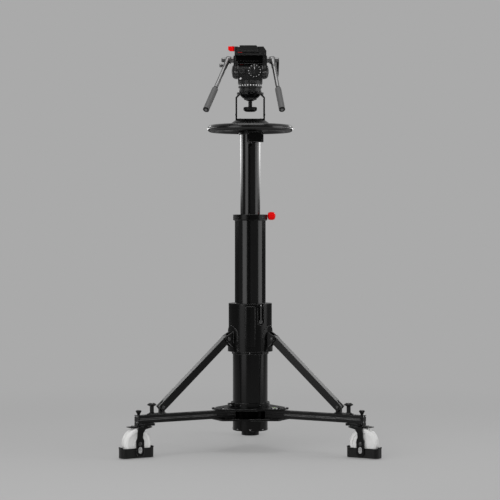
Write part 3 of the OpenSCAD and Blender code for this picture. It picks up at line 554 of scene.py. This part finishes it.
def block(low_corner, high_corner, round_edge=0.0, segments=2):
    """A box between two corners with its edges rounded."""
    shape = bmesh.new()
    bmesh.ops.create_cube(shape, size=1.0)
    low_corner, high_corner = Vector(low_corner), Vector(high_corner)
    size, middle = high_corner - low_corner, (low_corner + high_corner) / 2
    for v in shape.verts:
        v.co = Vector((v.co.x * size.x, v.co.y * size.y, v.co.z * size.z)) + middle
    if round_edge:
        bmesh.ops.bevel(shape, geom=shape.edges[:], offset=round_edge, segments=segments, affect="EDGES",
                        profile=0.5)
    return shape


def plate_of(outline, thickness, round_edge):
    """A flat plate from an outline of (x, z) points, lying from y = 0 to y = thickness."""
    shape = bmesh.new()
    face = shape.faces.new([shape.verts.new((x, 0.0, z)) for x, z in outline])
    grown = bmesh.ops.extrude_face_region(shape, geom=[face])
    for v in [g for g in grown["geom"] if isinstance(g, bmesh.types.BMVert)]:
        v.co.y += thickness
    bmesh.ops.recalc_face_normals(shape, faces=shape.faces)
    sharp = [e for e in shape.edges if e.calc_face_angle(0) > 0.5]
    bmesh.ops.bevel(shape, geom=sharp, offset=round_edge, segments=2, affect="EDGES", profile=0.5)
    return shape


def joined(*shapes):
    """One shape from several; the parts are freed."""
    whole = bmesh.new()
    for shape in shapes:
        mesh = bpy.data.meshes.new("part")
        shape.to_mesh(mesh)
        shape.free()
        whole.from_mesh(mesh)
        bpy.data.meshes.remove(mesh)
    return whole


def hex_head(across, height, washer):
    """A hexagon head with a turned washer face under it, its top on +Z."""
    corner = across * 0.577
    rim = washer * 0.93
    head = turned([(0, 0), (corner, 0), (corner, height * 0.85), (across * 0.48, height), (0, height)], 6)
    face = turned([(0, -0.0010), (washer, -0.0010), (washer, -0.0001), (rim, 0.0002), (0, 0.0002)], 28)
    return joined(head, face)


def stadium(half, low, high, steps=8):
    """Outline of a slot: two half circles joined by straight sides."""
    angles = [math.pi * i / steps for i in range(steps + 1)]
    upper = [(half * math.cos(a), high + half * math.sin(a)) for a in angles]
    lower = [(-x, low + high - z) for x, z in upper]
    return upper + lower


def fit(name, shape, finish, body, at=Matrix.Identity(4)):
    """Makes a piece from a shape, sets it in place and lets it ride on its body."""
    shape.transform(at)
    piece = new_object(name, to_mesh(shape, name, finish))
    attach(piece, body)


pad_grey = moulded("pad_grey", grey(0.42), rough=0.4)
axle_reach, axle_height = joint_at("wheel_rear_spin")[1:]
bearing_side = 0.0180
nut_side = right("fork_rear") + 0.0001
slot_reach, slot_half, slot_low, slot_high = 0.538, 0.0080, 0.0305, 0.0415
arm_side, pad_thickness = 0.0307, 0.0060
bolt_side, bolt_height = arm_side + pad_thickness / 2 + 0.0001, 0.0400
pedal_start, pedal_end, pedal_side, pedal_under, pedal_top = 0.545, 0.578, 0.016, 0.1276, 0.1308
rib_start, rib_pitch, rib_width = 0.551, 0.006, 0.0025
rib_side, rib_under, rib_top = 0.013, 0.1303, 0.1318
for side in LEGS:
    at = leg_place(side)
    castor, wheel = f"castor_{side}", f"wheel_{side}_body"
    for end, hand in (("in", -1), ("out", 1)):
        sideways = turned_by(-90 * hand, "X")
        cap = turned([(0, 0.0), (0.015, 0.0), (0.015, 0.0012), (0.0135, 0.0018), (0.009, 0.0018),
                      (0.0085, 0.0008), (0, 0.0008)], 40)
        fit(f"bearing_cap_{side}_{end}", cap, bright_metal, wheel,
            at @ moved(axle_reach, hand * bearing_side, axle_height) @ sideways)
        nut = hex_head(across=0.0130, height=0.0042, washer=0.0086)
        fit(f"axle_nut_{side}_{end}", nut, dark_steel, castor,
            at @ moved(axle_reach, hand * nut_side, axle_height) @ sideways)
        pad = plate_of(stadium(slot_half, slot_low, slot_high), pad_thickness, round_edge=0.0008)
        fit(f"slot_pad_{side}_{end}", pad, pad_grey, castor,
            at @ moved(slot_reach, hand * arm_side - pad_thickness / 2, 0))
        bolt = hex_head(across=0.0080, height=0.0028, washer=0.0056)
        fit(f"pad_bolt_{side}_{end}", bolt, bright_metal, castor,
            at @ moved(slot_reach, hand * bolt_side, bolt_height) @ sideways)
    starts = [rib_start + rib_pitch * i for i in range(4)]
    ribs = [block((x, -rib_side, rib_under), (x + rib_width, rib_side, rib_top), 0.0004, 1) for x in starts]
    tread = block((pedal_start, -pedal_side, pedal_under), (pedal_end, pedal_side, pedal_top), 0.0010)
    fit(f"brake_pedal_{side}", joined(tread, *ribs), black_plastic, castor, at)


# Leg fittings
# Stainless screws hold the end casting and the brace's foot, domed steel caps close the
# pins that the braces turn on, and bright metal strips in the grooves of the legs are a
# painted highlight along them.
facing_up = turned_by(-90, "Y")


def screw_set(places, **size):
    """Button heads of one size, one at each place, as one shape."""
    heads = []
    for place in places:
        head = screw_head(**size)
        head.transform(place)
        heads.append(head)
    return joined(*heads)


def leg_body(side):
    """The rear leg is fixed to the base; the others fold."""
    return "base" if side == "rear" else f"leg_{side}_body"


end_face = round(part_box("leg_end_rear")[1].y, 4)
foot_plate_top = 0.1813
pin_reach, pin_height = joint_at("brace_rear_lift")[1:]
ear_side = 0.0243
foot_pin_reach, foot_pin_height = joint_at("foot_rear_hinge")[1:]
foot_side = right("brace_foot_rear")
for side in LEGS:
    at = leg_place(side)
    foot = f"foot_{side}_body"
    end_screws = screw_set([moved(end_face, y, z) for y in (-0.009, 0.009) for z in (0.148, 0.172)],
                           radius=0.0030, height=0.0014, socket=0.0014)
    fit(f"end_screws_{side}", end_screws, bright_metal, leg_body(side), at)
    foot_screws = screw_set([moved(x, 0, foot_plate_top) @ facing_up for x in (0.409, 0.4855)],
                            radius=0.0038, height=0.0018, socket=0.0017)
    fit(f"foot_screws_{side}", foot_screws, bright_metal, foot, at)
    for end, hand in (("in", -1), ("out", 1)):
        sideways = turned_by(-90 * hand, "X")
        dome = turned([(0, -0.001), (0.0068, -0.001), (0.0068, 0.0008), (0.0056, 0.0020), (0.0030, 0.0026),
                       (0, 0.0028)], 28)
        fit(f"pin_cap_{side}_{end}", dome, dark_steel, "base",
            at @ moved(pin_reach, hand * ear_side, pin_height) @ sideways)
        ring = turned([(0, -0.001), (0.0060, -0.001), (0.0060, 0.0006), (0.0046, 0.0012), (0.0040, 0.0004),
                       (0, 0.0004)], 28)
        fit(f"foot_pin_cap_{side}_{end}", ring, dark_steel, foot,
            at @ moved(foot_pin_reach, hand * foot_side, foot_pin_height) @ sideways)

# Bright metal strips in the leg grooves: a painted highlight along the legs.
strip_start, strip_end, strip_height = 0.170, 0.530, 0.0018
for side in LEGS:
    strips = [block((strip_start, y - 0.0004, z), (strip_end, y + 0.0004, z + strip_height), 0.0003, 1)
              for y in (-0.0130, 0.0130) for z in (0.1568, 0.1614)]
    fit(f"groove_strips_{side}", joined(*strips), bar_metal, leg_body(side), leg_place(side))


# Hub fittings
# Screws hold the hub's upper plate in pairs, and one closes the lug of the clamp ring.
# The spirit level has a domed glass on its cup, with a bubble in green liquid.
plate_screw_reach, plate_screw_side = 0.150, 0.036
pair_places = [moved(y=y) @ facing_up for y in (plate_screw_side, -plate_screw_side)]
plate_screws = screw_set(pair_places, radius=0.0046, height=0.0022, socket=0.0021)
round_row("hub_screws", plate_screws, bright_metal, "base", count=3,
          radius=plate_screw_reach, at=moved(z=top("hub_upper_plate")), first=90)
lug_screw = turned([(0, -0.020), (0.0028, -0.020), (0.0028, 0.0), (0.0048, 0.0), (0.0048, 0.0045),
                    (0.0042, 0.0050), (0.0022, 0.0050), (0.0022, 0.0025), (0, 0.0025)], 24)
lug_azimuth, lug_reach, lug_side, lug_height = 200, 0.0925, 0.0090, 0.194
fit("clamp_lug_screw", lug_screw, bright_metal, "base",
    turned_by(lug_azimuth, "Z") @ moved(lug_reach, lug_side, lug_height) @ turned_by(-90, "X"))
level_azimuth, level_reach = 316, 0.140


def bubble_glass():
    """Clear green liquid under glass, with a printed circle round the pale bubble."""
    bubble_radius, circle_inside, circle_outside = 0.0024, 0.0036, 0.0043
    f = Finish("bubble_glass")
    here = f.place()
    turn = math.radians(level_azimuth)
    x = f.add("ShaderNodeSeparateXYZ", {}, here, out=0) - level_reach * math.cos(turn)
    y = f.add("ShaderNodeSeparateXYZ", {}, here, out=1) - level_reach * math.sin(turn)
    away = f.add("ShaderNodeMath", {"operation": "SQRT"}, x * x + y * y)
    circle = (away > circle_inside) * (away < circle_outside)
    liquid = f.mix(f.noise(EVEN, 60.0), (0.30, 0.55, 0.06, 1.0), (0.38, 0.66, 0.10, 1.0))
    filled = f.mix(away < bubble_radius, liquid, (0.80, 0.92, 0.55, 1.0))
    f.feed(Base_Color=f.mix(circle, filled, grey(0.01)), Roughness=0.05 + circle * 0.3, Coat_Weight=1.0)
    return f


vial = turned([(0, 0.0), (0.0088, 0.0), (0.0088, 0.0014), (0.0078, 0.0021), (0.0050, 0.0027),
               (0, 0.0030)], 40)
cup_floor = top("spirit_level") - 0.002
fit("level_vial", vial, bubble_glass(), "base",
    turned_by(level_azimuth, "Z") @ moved(level_reach, 0, cup_floor))


# Housing and collar
# The housing of the gas spring carries a raised cover strip down its front and a bright
# cap on its air valve. Small socket screws fix it, its lower step and the middle collar.
def front(node):
    """Where a solid ends towards the camera, to a tenth of a millimetre."""
    return round(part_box(node)[0].y, 4)


def skinned(rows, looped=False):
    """A closed solid from rings of corners, each joined to the next, with its ends capped or met."""
    shape = bmesh.new()
    rings = [[shape.verts.new(corner) for corner in row] for row in rows]
    following = rings[1:] + rings[:1] if looped else rings[1:]
    for one, two in zip(rings, following):
        for j in range(len(one)):
            k = (j + 1) % len(one)
            shape.faces.new((one[j], one[k], two[k], two[j]))
    if not looped:
        shape.faces.new(rings[0])
        shape.faces.new(rings[-1])
    bmesh.ops.recalc_face_normals(shape, faces=shape.faces)
    return shape


def wrapped(radius, thick, low, high, half_angle, corner, columns=16):
    """A strip bent round the Z axis at the front, with its four corners cut and its edge eased."""
    ease = thick * 0.4
    insets = {0: corner, 1: corner * 0.3, columns - 1: corner * 0.3, columns: corner}
    rows = []
    for i in range(columns + 1):
        turn = math.radians(half_angle) * (2 * i / columns - 1)
        start, stop = low + insets.get(i, 0.0), high - insets.get(i, 0.0)
        out = radius + thick
        shoulder = out - ease
        if i in (0, columns):
            out = shoulder
        section = [(radius - 0.001, start), (shoulder, start), (out, start + ease),
                   (out, stop - ease), (shoulder, stop), (radius - 0.001, stop)]
        rows.append([(math.sin(turn) * r, -math.cos(turn) * r, z) for r, z in section])
    return skinned(rows)


housing_radius = -front("housing")
housing_low, housing_top = bottom("housing"), top("housing")
# The strip's edges take a much lighter tint: a painted highlight round its outline, with a little wear.
strip_black = anodised("strip_black", tint=0.002, rough=0.16, stretch=(1, 1, 0.03), wear_and_highlight_tint=0.60,
                       bevel=0.0014, gloss=0.26)
cover = wrapped(housing_radius, thick=0.0022, low=housing_low + 0.033, high=housing_top - 0.011,
                half_angle=13.2, corner=0.0050)
fit("cover_strip", cover, strip_black, "base")
valve_x, valve_y = 0.0446, -0.0772
valve_cap = turned([(0, -0.002), (0.0038, -0.002), (0.0038, 0.0008), (0.0030, 0.0018), (0, 0.0020)], 28)
fit("valve_cap", valve_cap, bright_metal, "base",
    moved(valve_x, valve_y, top("air_valve") - 0.0004))
step_radius, collar_radius = 0.0783, right("mid_collar")
step_screw = screw_head(radius=0.0024, height=0.0011, socket=0.0012)
round_row("step_screws", step_screw, bright_metal, "base", count=6, radius=step_radius,
          at=moved(z=housing_low + 0.0055), first=-92)
housing_screw = screw_head(radius=0.0026, height=0.0012, socket=0.0012)
round_row("housing_screws", housing_screw, dark_steel, "base", count=6,
          radius=housing_radius - 0.0001, at=moved(z=housing_top - 0.0070), first=-52)
collar_screw = screw_head(radius=0.0030, height=0.0013, socket=0.0014)
round_row("collar_screws", collar_screw, dark_steel, "mid_stage", count=4,
          radius=collar_radius - 0.0001, at=moved(z=bottom("mid_collar") + 0.012), first=-45)


# Ring, bowl stand and valve block
# A dark seam runs round the rim, screws hold the spokes, the stand's foot and arms and the
# valve block, and a rubber cap covers the push button under the block.
def band(radius, low, high, proud, steps=128):
    """A thin closed ring of round-edged section about Z."""
    section = [(radius - 0.0006, low), (radius + proud, low + 0.0003), (radius + proud, high - 0.0003),
               (radius - 0.0006, high)]
    angles = [2 * math.pi * i / steps for i in range(steps)]
    return skinned([[(r * math.cos(a), r * math.sin(a), z) for r, z in section] for a in angles], looped=True)


# Near-black matt for the rim's seam, the button cap and the crest strip, and for the panels in the tilt
# frame, where it is painted shade.
rubber_and_shade_black = anodised("rubber_and_shade_black", tint=0.0008, rough=0.50, grain=0.0002, wear_and_highlight_tint=0.004, bevel=0.0006,
                      gloss=0.05)
seam_radius, seam_low, seam_high = 0.1815, 1.3672, 1.3692
fit("rim_seam", band(seam_radius, seam_low, seam_high, proud=0.0004), rubber_and_shade_black, "top_stage")
facing_down = turned_by(90, "Y")
spoke_reach, spoke_under, spoke_screw_side = 0.140, 1.3640, 0.009
pair_places = [moved(y=y) @ facing_down for y in (spoke_screw_side, -spoke_screw_side)]
round_row("spoke_screws", screw_set(pair_places, radius=0.0042, height=0.0020, socket=0.0020), bright_metal,
          "top_stage", count=3, radius=spoke_reach, at=moved(z=spoke_under), first=90)
stand_foot_top = 1.4100
foot_places = [moved(x, y, stand_foot_top) @ facing_up for x in (-0.044, 0.044) for y in (-0.013, 0.013)]
fit("stand_screws", screw_set(foot_places, radius=0.0034, height=0.0016, socket=0.0016), bright_metal,
    "top_stage")
stand_side, arm_screw_height = right("bowl_stand"), 1.4280
arm_places = [moved(hand * stand_side, y, arm_screw_height) @ turned_by(90 - 90 * hand, "Z")
              for hand in (-1, 1) for y in (-0.011, 0.011)]
fit("stand_arm_screws", screw_set(arm_places, radius=0.0032, height=0.0015, socket=0.0015), dark_steel,
    "top_stage")
button_y = -0.0578
button = turned([(0, 0.002), (0.0082, 0.002), (0.0086, -0.001), (0.0086, -0.0062), (0.0070, -0.0082),
                 (0, -0.0088)], 36)
fit("valve_button_cap", button, rubber_and_shade_black, "top_stage",
    moved(0, button_y, bottom("valve_block")))
facing_front = turned_by(-90, "Z")
valve_front = front("valve_block")
block_places = [moved(x, valve_front, z) @ facing_front for x in (-0.008, 0.050) for z in (1.316, 1.344)]
fit("valve_block_screws", screw_set(block_places, radius=0.0030, height=0.0014, socket=0.0014), dark_steel,
    "top_stage")


# Knobs on the legs
# The turning knobs are moulded in black plastic with fine ribs for the fingers. A steel
# cap closes each lock knob, and a bright screw holds each pull knob on its pin.
def rib(length, width, height):
    """A finger rib along Z that stands out to +X."""
    return block((-height * 0.5, -width / 2, -length / 2), (height, width / 2, length / 2), width * 0.3, 1)


lock_reach = joint_at("lock_knob_rear_turn")[1]
lock_radius, lock_top = right("lock_knob_rear"), top("lock_knob_rear")
pull_reach = 0.469
pull_radius, pull_top = right("pull_knob_rear"), top("pull_knob_rear")
for side in LEGS:
    at = leg_place(side)
    lock_body, pull_body = f"lock_knob_{side}_body", f"pull_{side}_body"
    lock_rib = rib(length=0.0050, width=0.0012, height=0.0007)
    round_row(f"lock_knob_ribs_{side}", lock_rib, black_plastic, lock_body, count=28,
              radius=lock_radius, at=at @ moved(lock_reach, 0, lock_top - 0.003))
    lock_cap = turned([(0, -0.001), (0.0092, -0.001), (0.0092, 0.0004), (0.0080, 0.0012), (0.0030, 0.0016),
                       (0, 0.0010)], 30)
    fit(f"lock_knob_cap_{side}", lock_cap, dark_steel, lock_body,
        at @ moved(lock_reach, 0, lock_top))
    pull_rib = rib(length=0.0030, width=0.0022, height=0.0008)
    round_row(f"pull_knob_ribs_{side}", pull_rib, black_plastic, pull_body, count=30,
              radius=pull_radius - 0.0001, at=at @ moved(pull_reach, 0, pull_top - 0.0065))
    pull_screw = screw_head(radius=0.0045, height=0.0018, socket=0.0020)
    fit(f"pull_knob_screw_{side}", pull_screw, bright_metal, pull_body,
        at @ moved(pull_reach, 0, pull_top) @ facing_up)


# Red clamp knob
# The knob that locks the middle stage has a thick red moulded shell over its core, with
# fine ribs round it and a low dome pressed into its end.
knob_start = 0.0765
knob_height = joint_at("clamp_knob_turn")[2]


def on_knob(further):
    """A place on the knob's axis, its Z axis to the right, so far out from the shell's start."""
    return moved(knob_start + further, 0, knob_height) @ turned_by(90, "Y")


shell_radius = 0.0162
shell = turned([(0, 0.0), (0.0136, 0.0), (0.0156, 0.0016), (shell_radius, 0.0050), (shell_radius, 0.0220),
                (0.0148, 0.0262), (0.0110, 0.0282), (0, 0.0286)], 48)
fit("clamp_knob_shell", shell, red_plastic, "clamp_knob_body", on_knob(0.0))
round_row("clamp_knob_ribs", rib(length=0.014, width=0.0016, height=0.0008), red_plastic, "clamp_knob_body",
          count=24, radius=shell_radius, at=on_knob(0.0140))
dome = turned([(0, -0.001), (0.0092, -0.001), (0.0090, 0.0006), (0.0068, 0.0020), (0.0034, 0.0028),
               (0, 0.0030)], 36)
fit("clamp_knob_dome", dome, red_plastic, "clamp_knob_body", on_knob(0.0285))


# Bowl knob
# The black moulded hand knob that draws the head's half ball into the bowl has wide ribs
# round it for the grip.
bowl_rib = rib(length=0.011, width=0.0028, height=0.0012)
round_row("bowl_knob_ribs", bowl_rib, black_plastic, "bowl_knob_body", count=24,
          radius=right("bowl_knob"), at=moved(z=bottom("bowl_knob") + 0.012))


# Pan ring and head base
# The drag ring under the head is milled with finger ribs above and carries a row of white
# moulded index dots below. One dark screw locks the head's base in its bowl.
white_paint = moulded("white_paint", (0.85, 0.85, 0.85, 1.0), rough=0.4)
pan_radius = right("pan_ring")
round_row("pan_ring_ribs", rib(length=0.011, width=0.0030, height=0.0014), head_black, "pan_ring_body",
          count=40, radius=pan_radius, at=moved(z=top("pan_ring") - 0.0063))
dot = turned([(0, -0.0004), (0.0029, -0.0004), (0.0029, 0.0004), (0.0022, 0.0008), (0, 0.0009)], 20)
dot.transform(turned_by(90, "Y"))
round_row("pan_dots", dot, white_paint, "pan_ring_body", count=26, radius=pan_radius,
          at=moved(z=bottom("pan_ring") + 0.0087), first=-88)
base_screw = screw_head(radius=0.0042, height=0.0020, socket=0.0020)
base_screw_place = moved(x=-0.004, y=-0.0462, z=1.5330) @ facing_front
fit("head_base_screw", base_screw, dark_steel, "top_stage", base_screw_place)


# Counterbalance dial
# A machined dial with a milled edge, a ring of printed ticks and a raised grip bar with a
# white pointer let into it.
to_front = turned_by(90, "X")
dial_x, dial_z = joint_at("tilt_dial_turn")[0::2]
dial_front, tick_circle, grip_foot, pointer_foot = -0.0383, 0.0252, 0.0076, 0.0139
dial_face = moved(dial_x, dial_front, dial_z) @ to_front
tick = block((-0.0018, -0.0015, -0.0004), (0.0014, 0.0015, 0.0003), 0.0002, 1)
round_row("dial_ticks", tick, white_paint, "dial_body", count=13, radius=tick_circle,
          at=dial_face, first=12)
dial_rib = rib(length=0.0056, width=0.0026, height=0.0012)
round_row("dial_ribs", dial_rib, head_black, "dial_body", count=28,
          radius=right("tilt_dial") - dial_x, at=dial_face @ moved(z=-0.003))
grip_bar = block((-0.0040, -0.0175, -0.0002), (0.0040, 0.0175, 0.0062), 0.0022, 3)
fit("dial_grip", grip_bar, head_black, "dial_body", dial_face @ moved(z=grip_foot))
pointer = block((-0.0009, 0.0050, -0.0002), (0.0009, 0.0160, 0.0004), 0.0002, 1)
fit("dial_pointer", pointer, white_paint, "dial_body", dial_face @ moved(z=pointer_foot))


# Fittings of the pan body
# Beside the dial are a knurled drag knob and a small white level button. Two grooved steel
# drag drums stand out of the body's sides, screws close it, and a red line marks its level.
body_front = front("head_body")
drag_x, drag_radius = -0.0365, 0.0140
drag_face = moved(drag_x, body_front, dial_z) @ to_front
drag_knob = turned([(0, -0.001), (drag_radius, -0.001), (drag_radius, 0.0080), (0.0126, 0.0100),
                    (0.0080, 0.0106), (0.0074, 0.0096), (0, 0.0096)], 40)
fit("drag_knob", drag_knob, head_black, "pan_head", drag_face)
drag_rib = rib(length=0.0080, width=0.0020, height=0.0010)
round_row("drag_knob_ribs", drag_rib, bar_metal, "pan_head", count=18, radius=drag_radius,
          at=drag_face @ moved(z=0.0040))
drum_side, drum_y, drum_height, drum_radius, groove = 0.0520, -0.0250, 1.5970, 0.0160, 0.0152
drum = [(0, -0.001), (0.0150, -0.001), (drum_radius, 0.0002), (drum_radius, 0.0040), (groove, 0.0048),
        (groove, 0.0058), (drum_radius, 0.0066), (drum_radius, 0.0104), (groove, 0.0112), (groove, 0.0122),
        (drum_radius, 0.0130), (drum_radius, 0.0158), (0.0148, 0.0170), (0, 0.0172)]
for end, hand in (("left", -1), ("right", 1)):
    fit(f"drag_drum_{end}", turned(drum, 44), dark_steel, "pan_head",
        moved(hand * drum_side, drum_y, drum_height) @ turned_by(90 * hand, "Y"))
level_button = turned([(0, -0.001), (0.0044, -0.001), (0.0044, 0.0008), (0.0034, 0.0020), (0, 0.0026)], 28)
button_place = moved(x=-0.0410, y=body_front, z=1.5785) @ to_front
fit("level_button", level_button, white_paint, "pan_head", button_place)
body_corners = ((0.046, 1.578), (0.046, 1.634), (-0.010, 1.578))
body_places = [moved(x, body_front, z) @ facing_front for x, z in body_corners]
fit("body_screws", screw_set(body_places, radius=0.0028, height=0.0013, socket=0.0013), dark_steel,
    "pan_head")
faded_red = moulded("faded_red", (0.10, 0.003, 0.003, 1.0), rough=0.5, gloss=0.2)
index_line = block((-0.009, -0.0005, -0.0008), (0.009, 0.0006, 0.0008), 0.0002, 1)
index_place = moved(x=-0.038, y=-0.0168, z=1.6385) @ turned_by(-28, "X")
fit("tilt_index", index_line, faded_red, "pan_head", index_place)


# Covers and painted shade of the tilt frame
# Thin near-black panels in the recess, on the bridge and in the slot under the plate are
# painted shade; a curved black plastic cover lies on the crest of the body, and steel caps
# close the tilt pins.
tilt_height = joint_at("tilt_turn")[2]


def arched(low_x, high_x, inner, outer, start, end, steps=14):
    """A strip bent round the X axis, from one angle above the front to another."""
    section = [(low_x, inner), (low_x, outer), (high_x, outer), (high_x, inner)]
    angles = [math.radians(start + (end - start) * i / steps) for i in range(steps + 1)]
    return skinned([[(x, -math.cos(a) * r, math.sin(a) * r) for x, r in section] for a in angles])


crest = arched(-0.0600, 0.0560, inner=0.0316, outer=0.0324, start=48, end=84)
fit("crest_strip", crest, rubber_and_shade_black, "pan_head", moved(z=tilt_height))
louvre_start, louvre_pitch, louvre_height = 1.6560, 0.0048, 0.0014
louvres = [block((-0.0600, -0.0299, z), (0.0525, -0.0289, z + louvre_height), 0.0004, 1)
           for z in [louvre_start + louvre_pitch * i for i in range(5)]]
# A near-black ribbed panel that darkens the recess: painted shade.
recess = joined(block((-0.0610, -0.0292, 1.6535), (0.0535, -0.0272, 1.6762), 0.0006), *louvres)
fit("recess_cover", recess, rubber_and_shade_black, "tilt_head")
# A near-black strip on the bridge's front: painted shade.
bridge = block((-0.0620, -0.0163, 1.6448), (0.0580, -0.0145, 1.6528), 0.0004)
fit("bridge_cover", bridge, rubber_and_shade_black, "tilt_head")
# A near-black strip under the plate's edge: painted shade along the slot.
slot_shade = joined(block((-0.0515, -0.0486, 1.6854), (0.0360, -0.0470, 1.6900), 0.0004),
                block((-0.0505, -0.0489, 1.6872), (0.0350, -0.0480, 1.6882), 0.0002, 1))
fit("slot_gasket", slot_shade, rubber_and_shade_black, "tilt_head")
cheek_side = 0.0780
cheek_cap = [(0, -0.001), (0.0110, -0.001), (0.0110, 0.0004), (0.0096, 0.0010), (0.0040, 0.0010),
             (0.0036, 0.0002), (0, 0.0002)]
for end, hand in (("left", -1), ("right", 1)):
    fit(f"cheek_cap_{end}", turned(cheek_cap, 36), dark_steel, "tilt_head",
        moved(hand * cheek_side, 0, tilt_height) @ turned_by(90 * hand, "Y"))


# Camera plate and its seat
# The sliding plate has a printed scale along its right edge. The seat that clamps it shows
# a red moulded catch at its front, coloured darker as painted shade under the plate; screws
# close the seat and hold the red lever.
# A darker copy of the red plastic: painted shade under the plate's edge.
catch_shaded_red = moulded("catch_shaded_red", (0.50, 0.002, 0.002, 1.0), rough=0.45, gloss=0.2)
catch = block((-0.053, -0.0498, 1.6868), (-0.034, -0.0470, 1.6912), 0.0010)
fit("plate_catch", catch, catch_shaded_red, "tilt_head")
scale_side, scale_start, short_end, full_end = 0.0190, -0.040, 0.0215, 0.0240
tick_low, tick_high, tick_width, tick_pitch = 1.71655, 1.71668, 0.0008, 0.01
ticks = []
for i in range(9):
    tick_y = scale_start + tick_pitch * i
    tick_end = full_end if i % 4 else short_end
    ticks.append(block((scale_side, tick_y, tick_low), (tick_end, tick_y + tick_width, tick_high)))
fit("plate_scale", joined(*ticks), white_paint, "camera_plate_body")
seat_front, seat_screw_height = front("plate_seat"), 1.6830
seat_places = [moved(x, seat_front, seat_screw_height) @ facing_front for x in (-0.058, 0.040, 0.060)]
fit("seat_screws", screw_set(seat_places, radius=0.0030, height=0.0014, socket=0.0014), dark_steel,
    "tilt_head")
lever_x, lever_y = joint_at("plate_lever_turn")[:2]
fit("lever_screw", screw_head(radius=0.0040, height=0.0016, socket=0.0018), dark_steel, "plate_lever_body",
    moved(lever_x, lever_y, top("plate_lever")) @ facing_up)


# Pan bars
# Each aluminium bar is clamped on a toothed rosette by a cast bracket: a wing knob tightens
# the left one and a straight steel lever the right one. The grips are slid on and closed by
# black end caps.
SPLAYS = {"left": -21.6, "right": 8.7}
bar_slope = 43.5
bar_start, bar_end, bar_radius = 0.047, 0.1880, 0.0084
grip_start, grip_end = 0.1850, 0.3285
sleeve_side, rosette_side, rosette_radius, pivot_nut_side = 0.0700, 0.0845, 0.0150, 0.1188
to_right = turned_by(90, "Y")
for end, hand in (("left", -1), ("right", 1)):
    body = f"handle_{end}_body"
    pivot_z = joint_at(f"handle_{end}_turn")[2]
    pivot = moved(*joint_at(f"handle_{end}_turn"))
    along_bar = pivot @ turned_by(SPLAYS[end], "Z") @ turned_by(90 + bar_slope, "X")
    bracket = turned([(0, -0.016), (0.0080, -0.016), (0.0122, -0.011), (0.0138, -0.002), (0.0128, 0.012),
                      (0.0102, 0.030), (0.0096, 0.042), (0.0100, 0.043), (0.0100, 0.049), (0.0092, 0.050),
                      (0, 0.050)])
    fit(f"bar_bracket_{end}", bracket, bar_metal, body, along_bar)
    tube = turned([(0, bar_start), (bar_radius, bar_start), (bar_radius, bar_end - 0.0020),
                   (bar_radius - 0.0006, bar_end), (0, bar_end)], 40)
    fit(f"bar_tube_{end}", tube, bar_metal, body, along_bar)
    tooth = rib(length=0.0060, width=0.0016, height=0.0010)
    round_row(f"rosette_teeth_{end}", tooth, bar_metal, body, count=32, radius=rosette_radius,
              at=moved(hand * rosette_side, 0, pivot_z) @ to_right)
    sleeve = turned([(0, -0.010), (0.0116, -0.010), (0.0120, -0.008), (0.0120, 0.008), (0.0116, 0.010),
                     (0, 0.010)], 36)
    fit(f"shaft_sleeve_{end}", sleeve, bar_metal, "tilt_head",
        moved(hand * sleeve_side, 0, pivot_z) @ to_right)
    nut = turned([(0, 0.0), (0.0086, 0.0), (0.0086, 0.0022), (0.0074, 0.0034), (0.0036, 0.0034),
                  (0.0032, 0.0020), (0, 0.0020)], 28)
    fit(f"pivot_nut_{end}", nut, dark_steel, body,
        moved(hand * pivot_nut_side, 0, pivot_z) @ turned_by(90 * hand, "Y"))
    end_cap = turned([(0, -0.003), (0.0118, -0.003), (0.0132, -0.0018), (0.0130, 0.0002), (0.0108, 0.0016),
                      (0.0064, 0.0018), (0.0056, 0.0006), (0, 0.0006)], 36)
    fit(f"grip_cap_{end}", end_cap, black_plastic, body, along_bar @ moved(z=grip_end))
    neck = turned([(0, 0.0), (0.0088, 0.0), (0.0094, 0.0010), (0.0094, 0.0034), (0.0084, 0.0044),
                   (0, 0.0044)])
    fit(f"grip_neck_{end}", neck, black_plastic, body, along_bar @ moved(z=grip_start))
wing = joined(turned([(0, 0.0), (0.0040, 0.0), (0.0040, 0.0120), (0.0072, 0.0135), (0.0080, 0.0160),
                      (0.0080, 0.0235), (0.0066, 0.0255), (0, 0.0255)], 28),
              block((-0.0030, -0.0140, 0.0150), (0.0030, 0.0140, 0.0235), 0.0020))
wing_place = moved(x=-0.1050, y=-0.0240, z=1.6350) @ turned_by(-90, "Y")
fit("wing_knob", wing, bar_metal, "handle_left_body", wing_place)
lever_outline = [(-0.0060, 0.006), (0.0060, 0.006), (0.0062, -0.010), (0.0044, -0.060), (0.0020, -0.070),
                 (-0.0020, -0.070), (-0.0044, -0.060), (-0.0062, -0.010)]
lever = plate_of(lever_outline, thickness=0.0055, round_edge=0.0014)
lever_place = moved(x=0.1165, y=-0.0028, z=1.6560)
fit("clamp_lever", lever, dark_steel, "handle_right_body", lever_place)
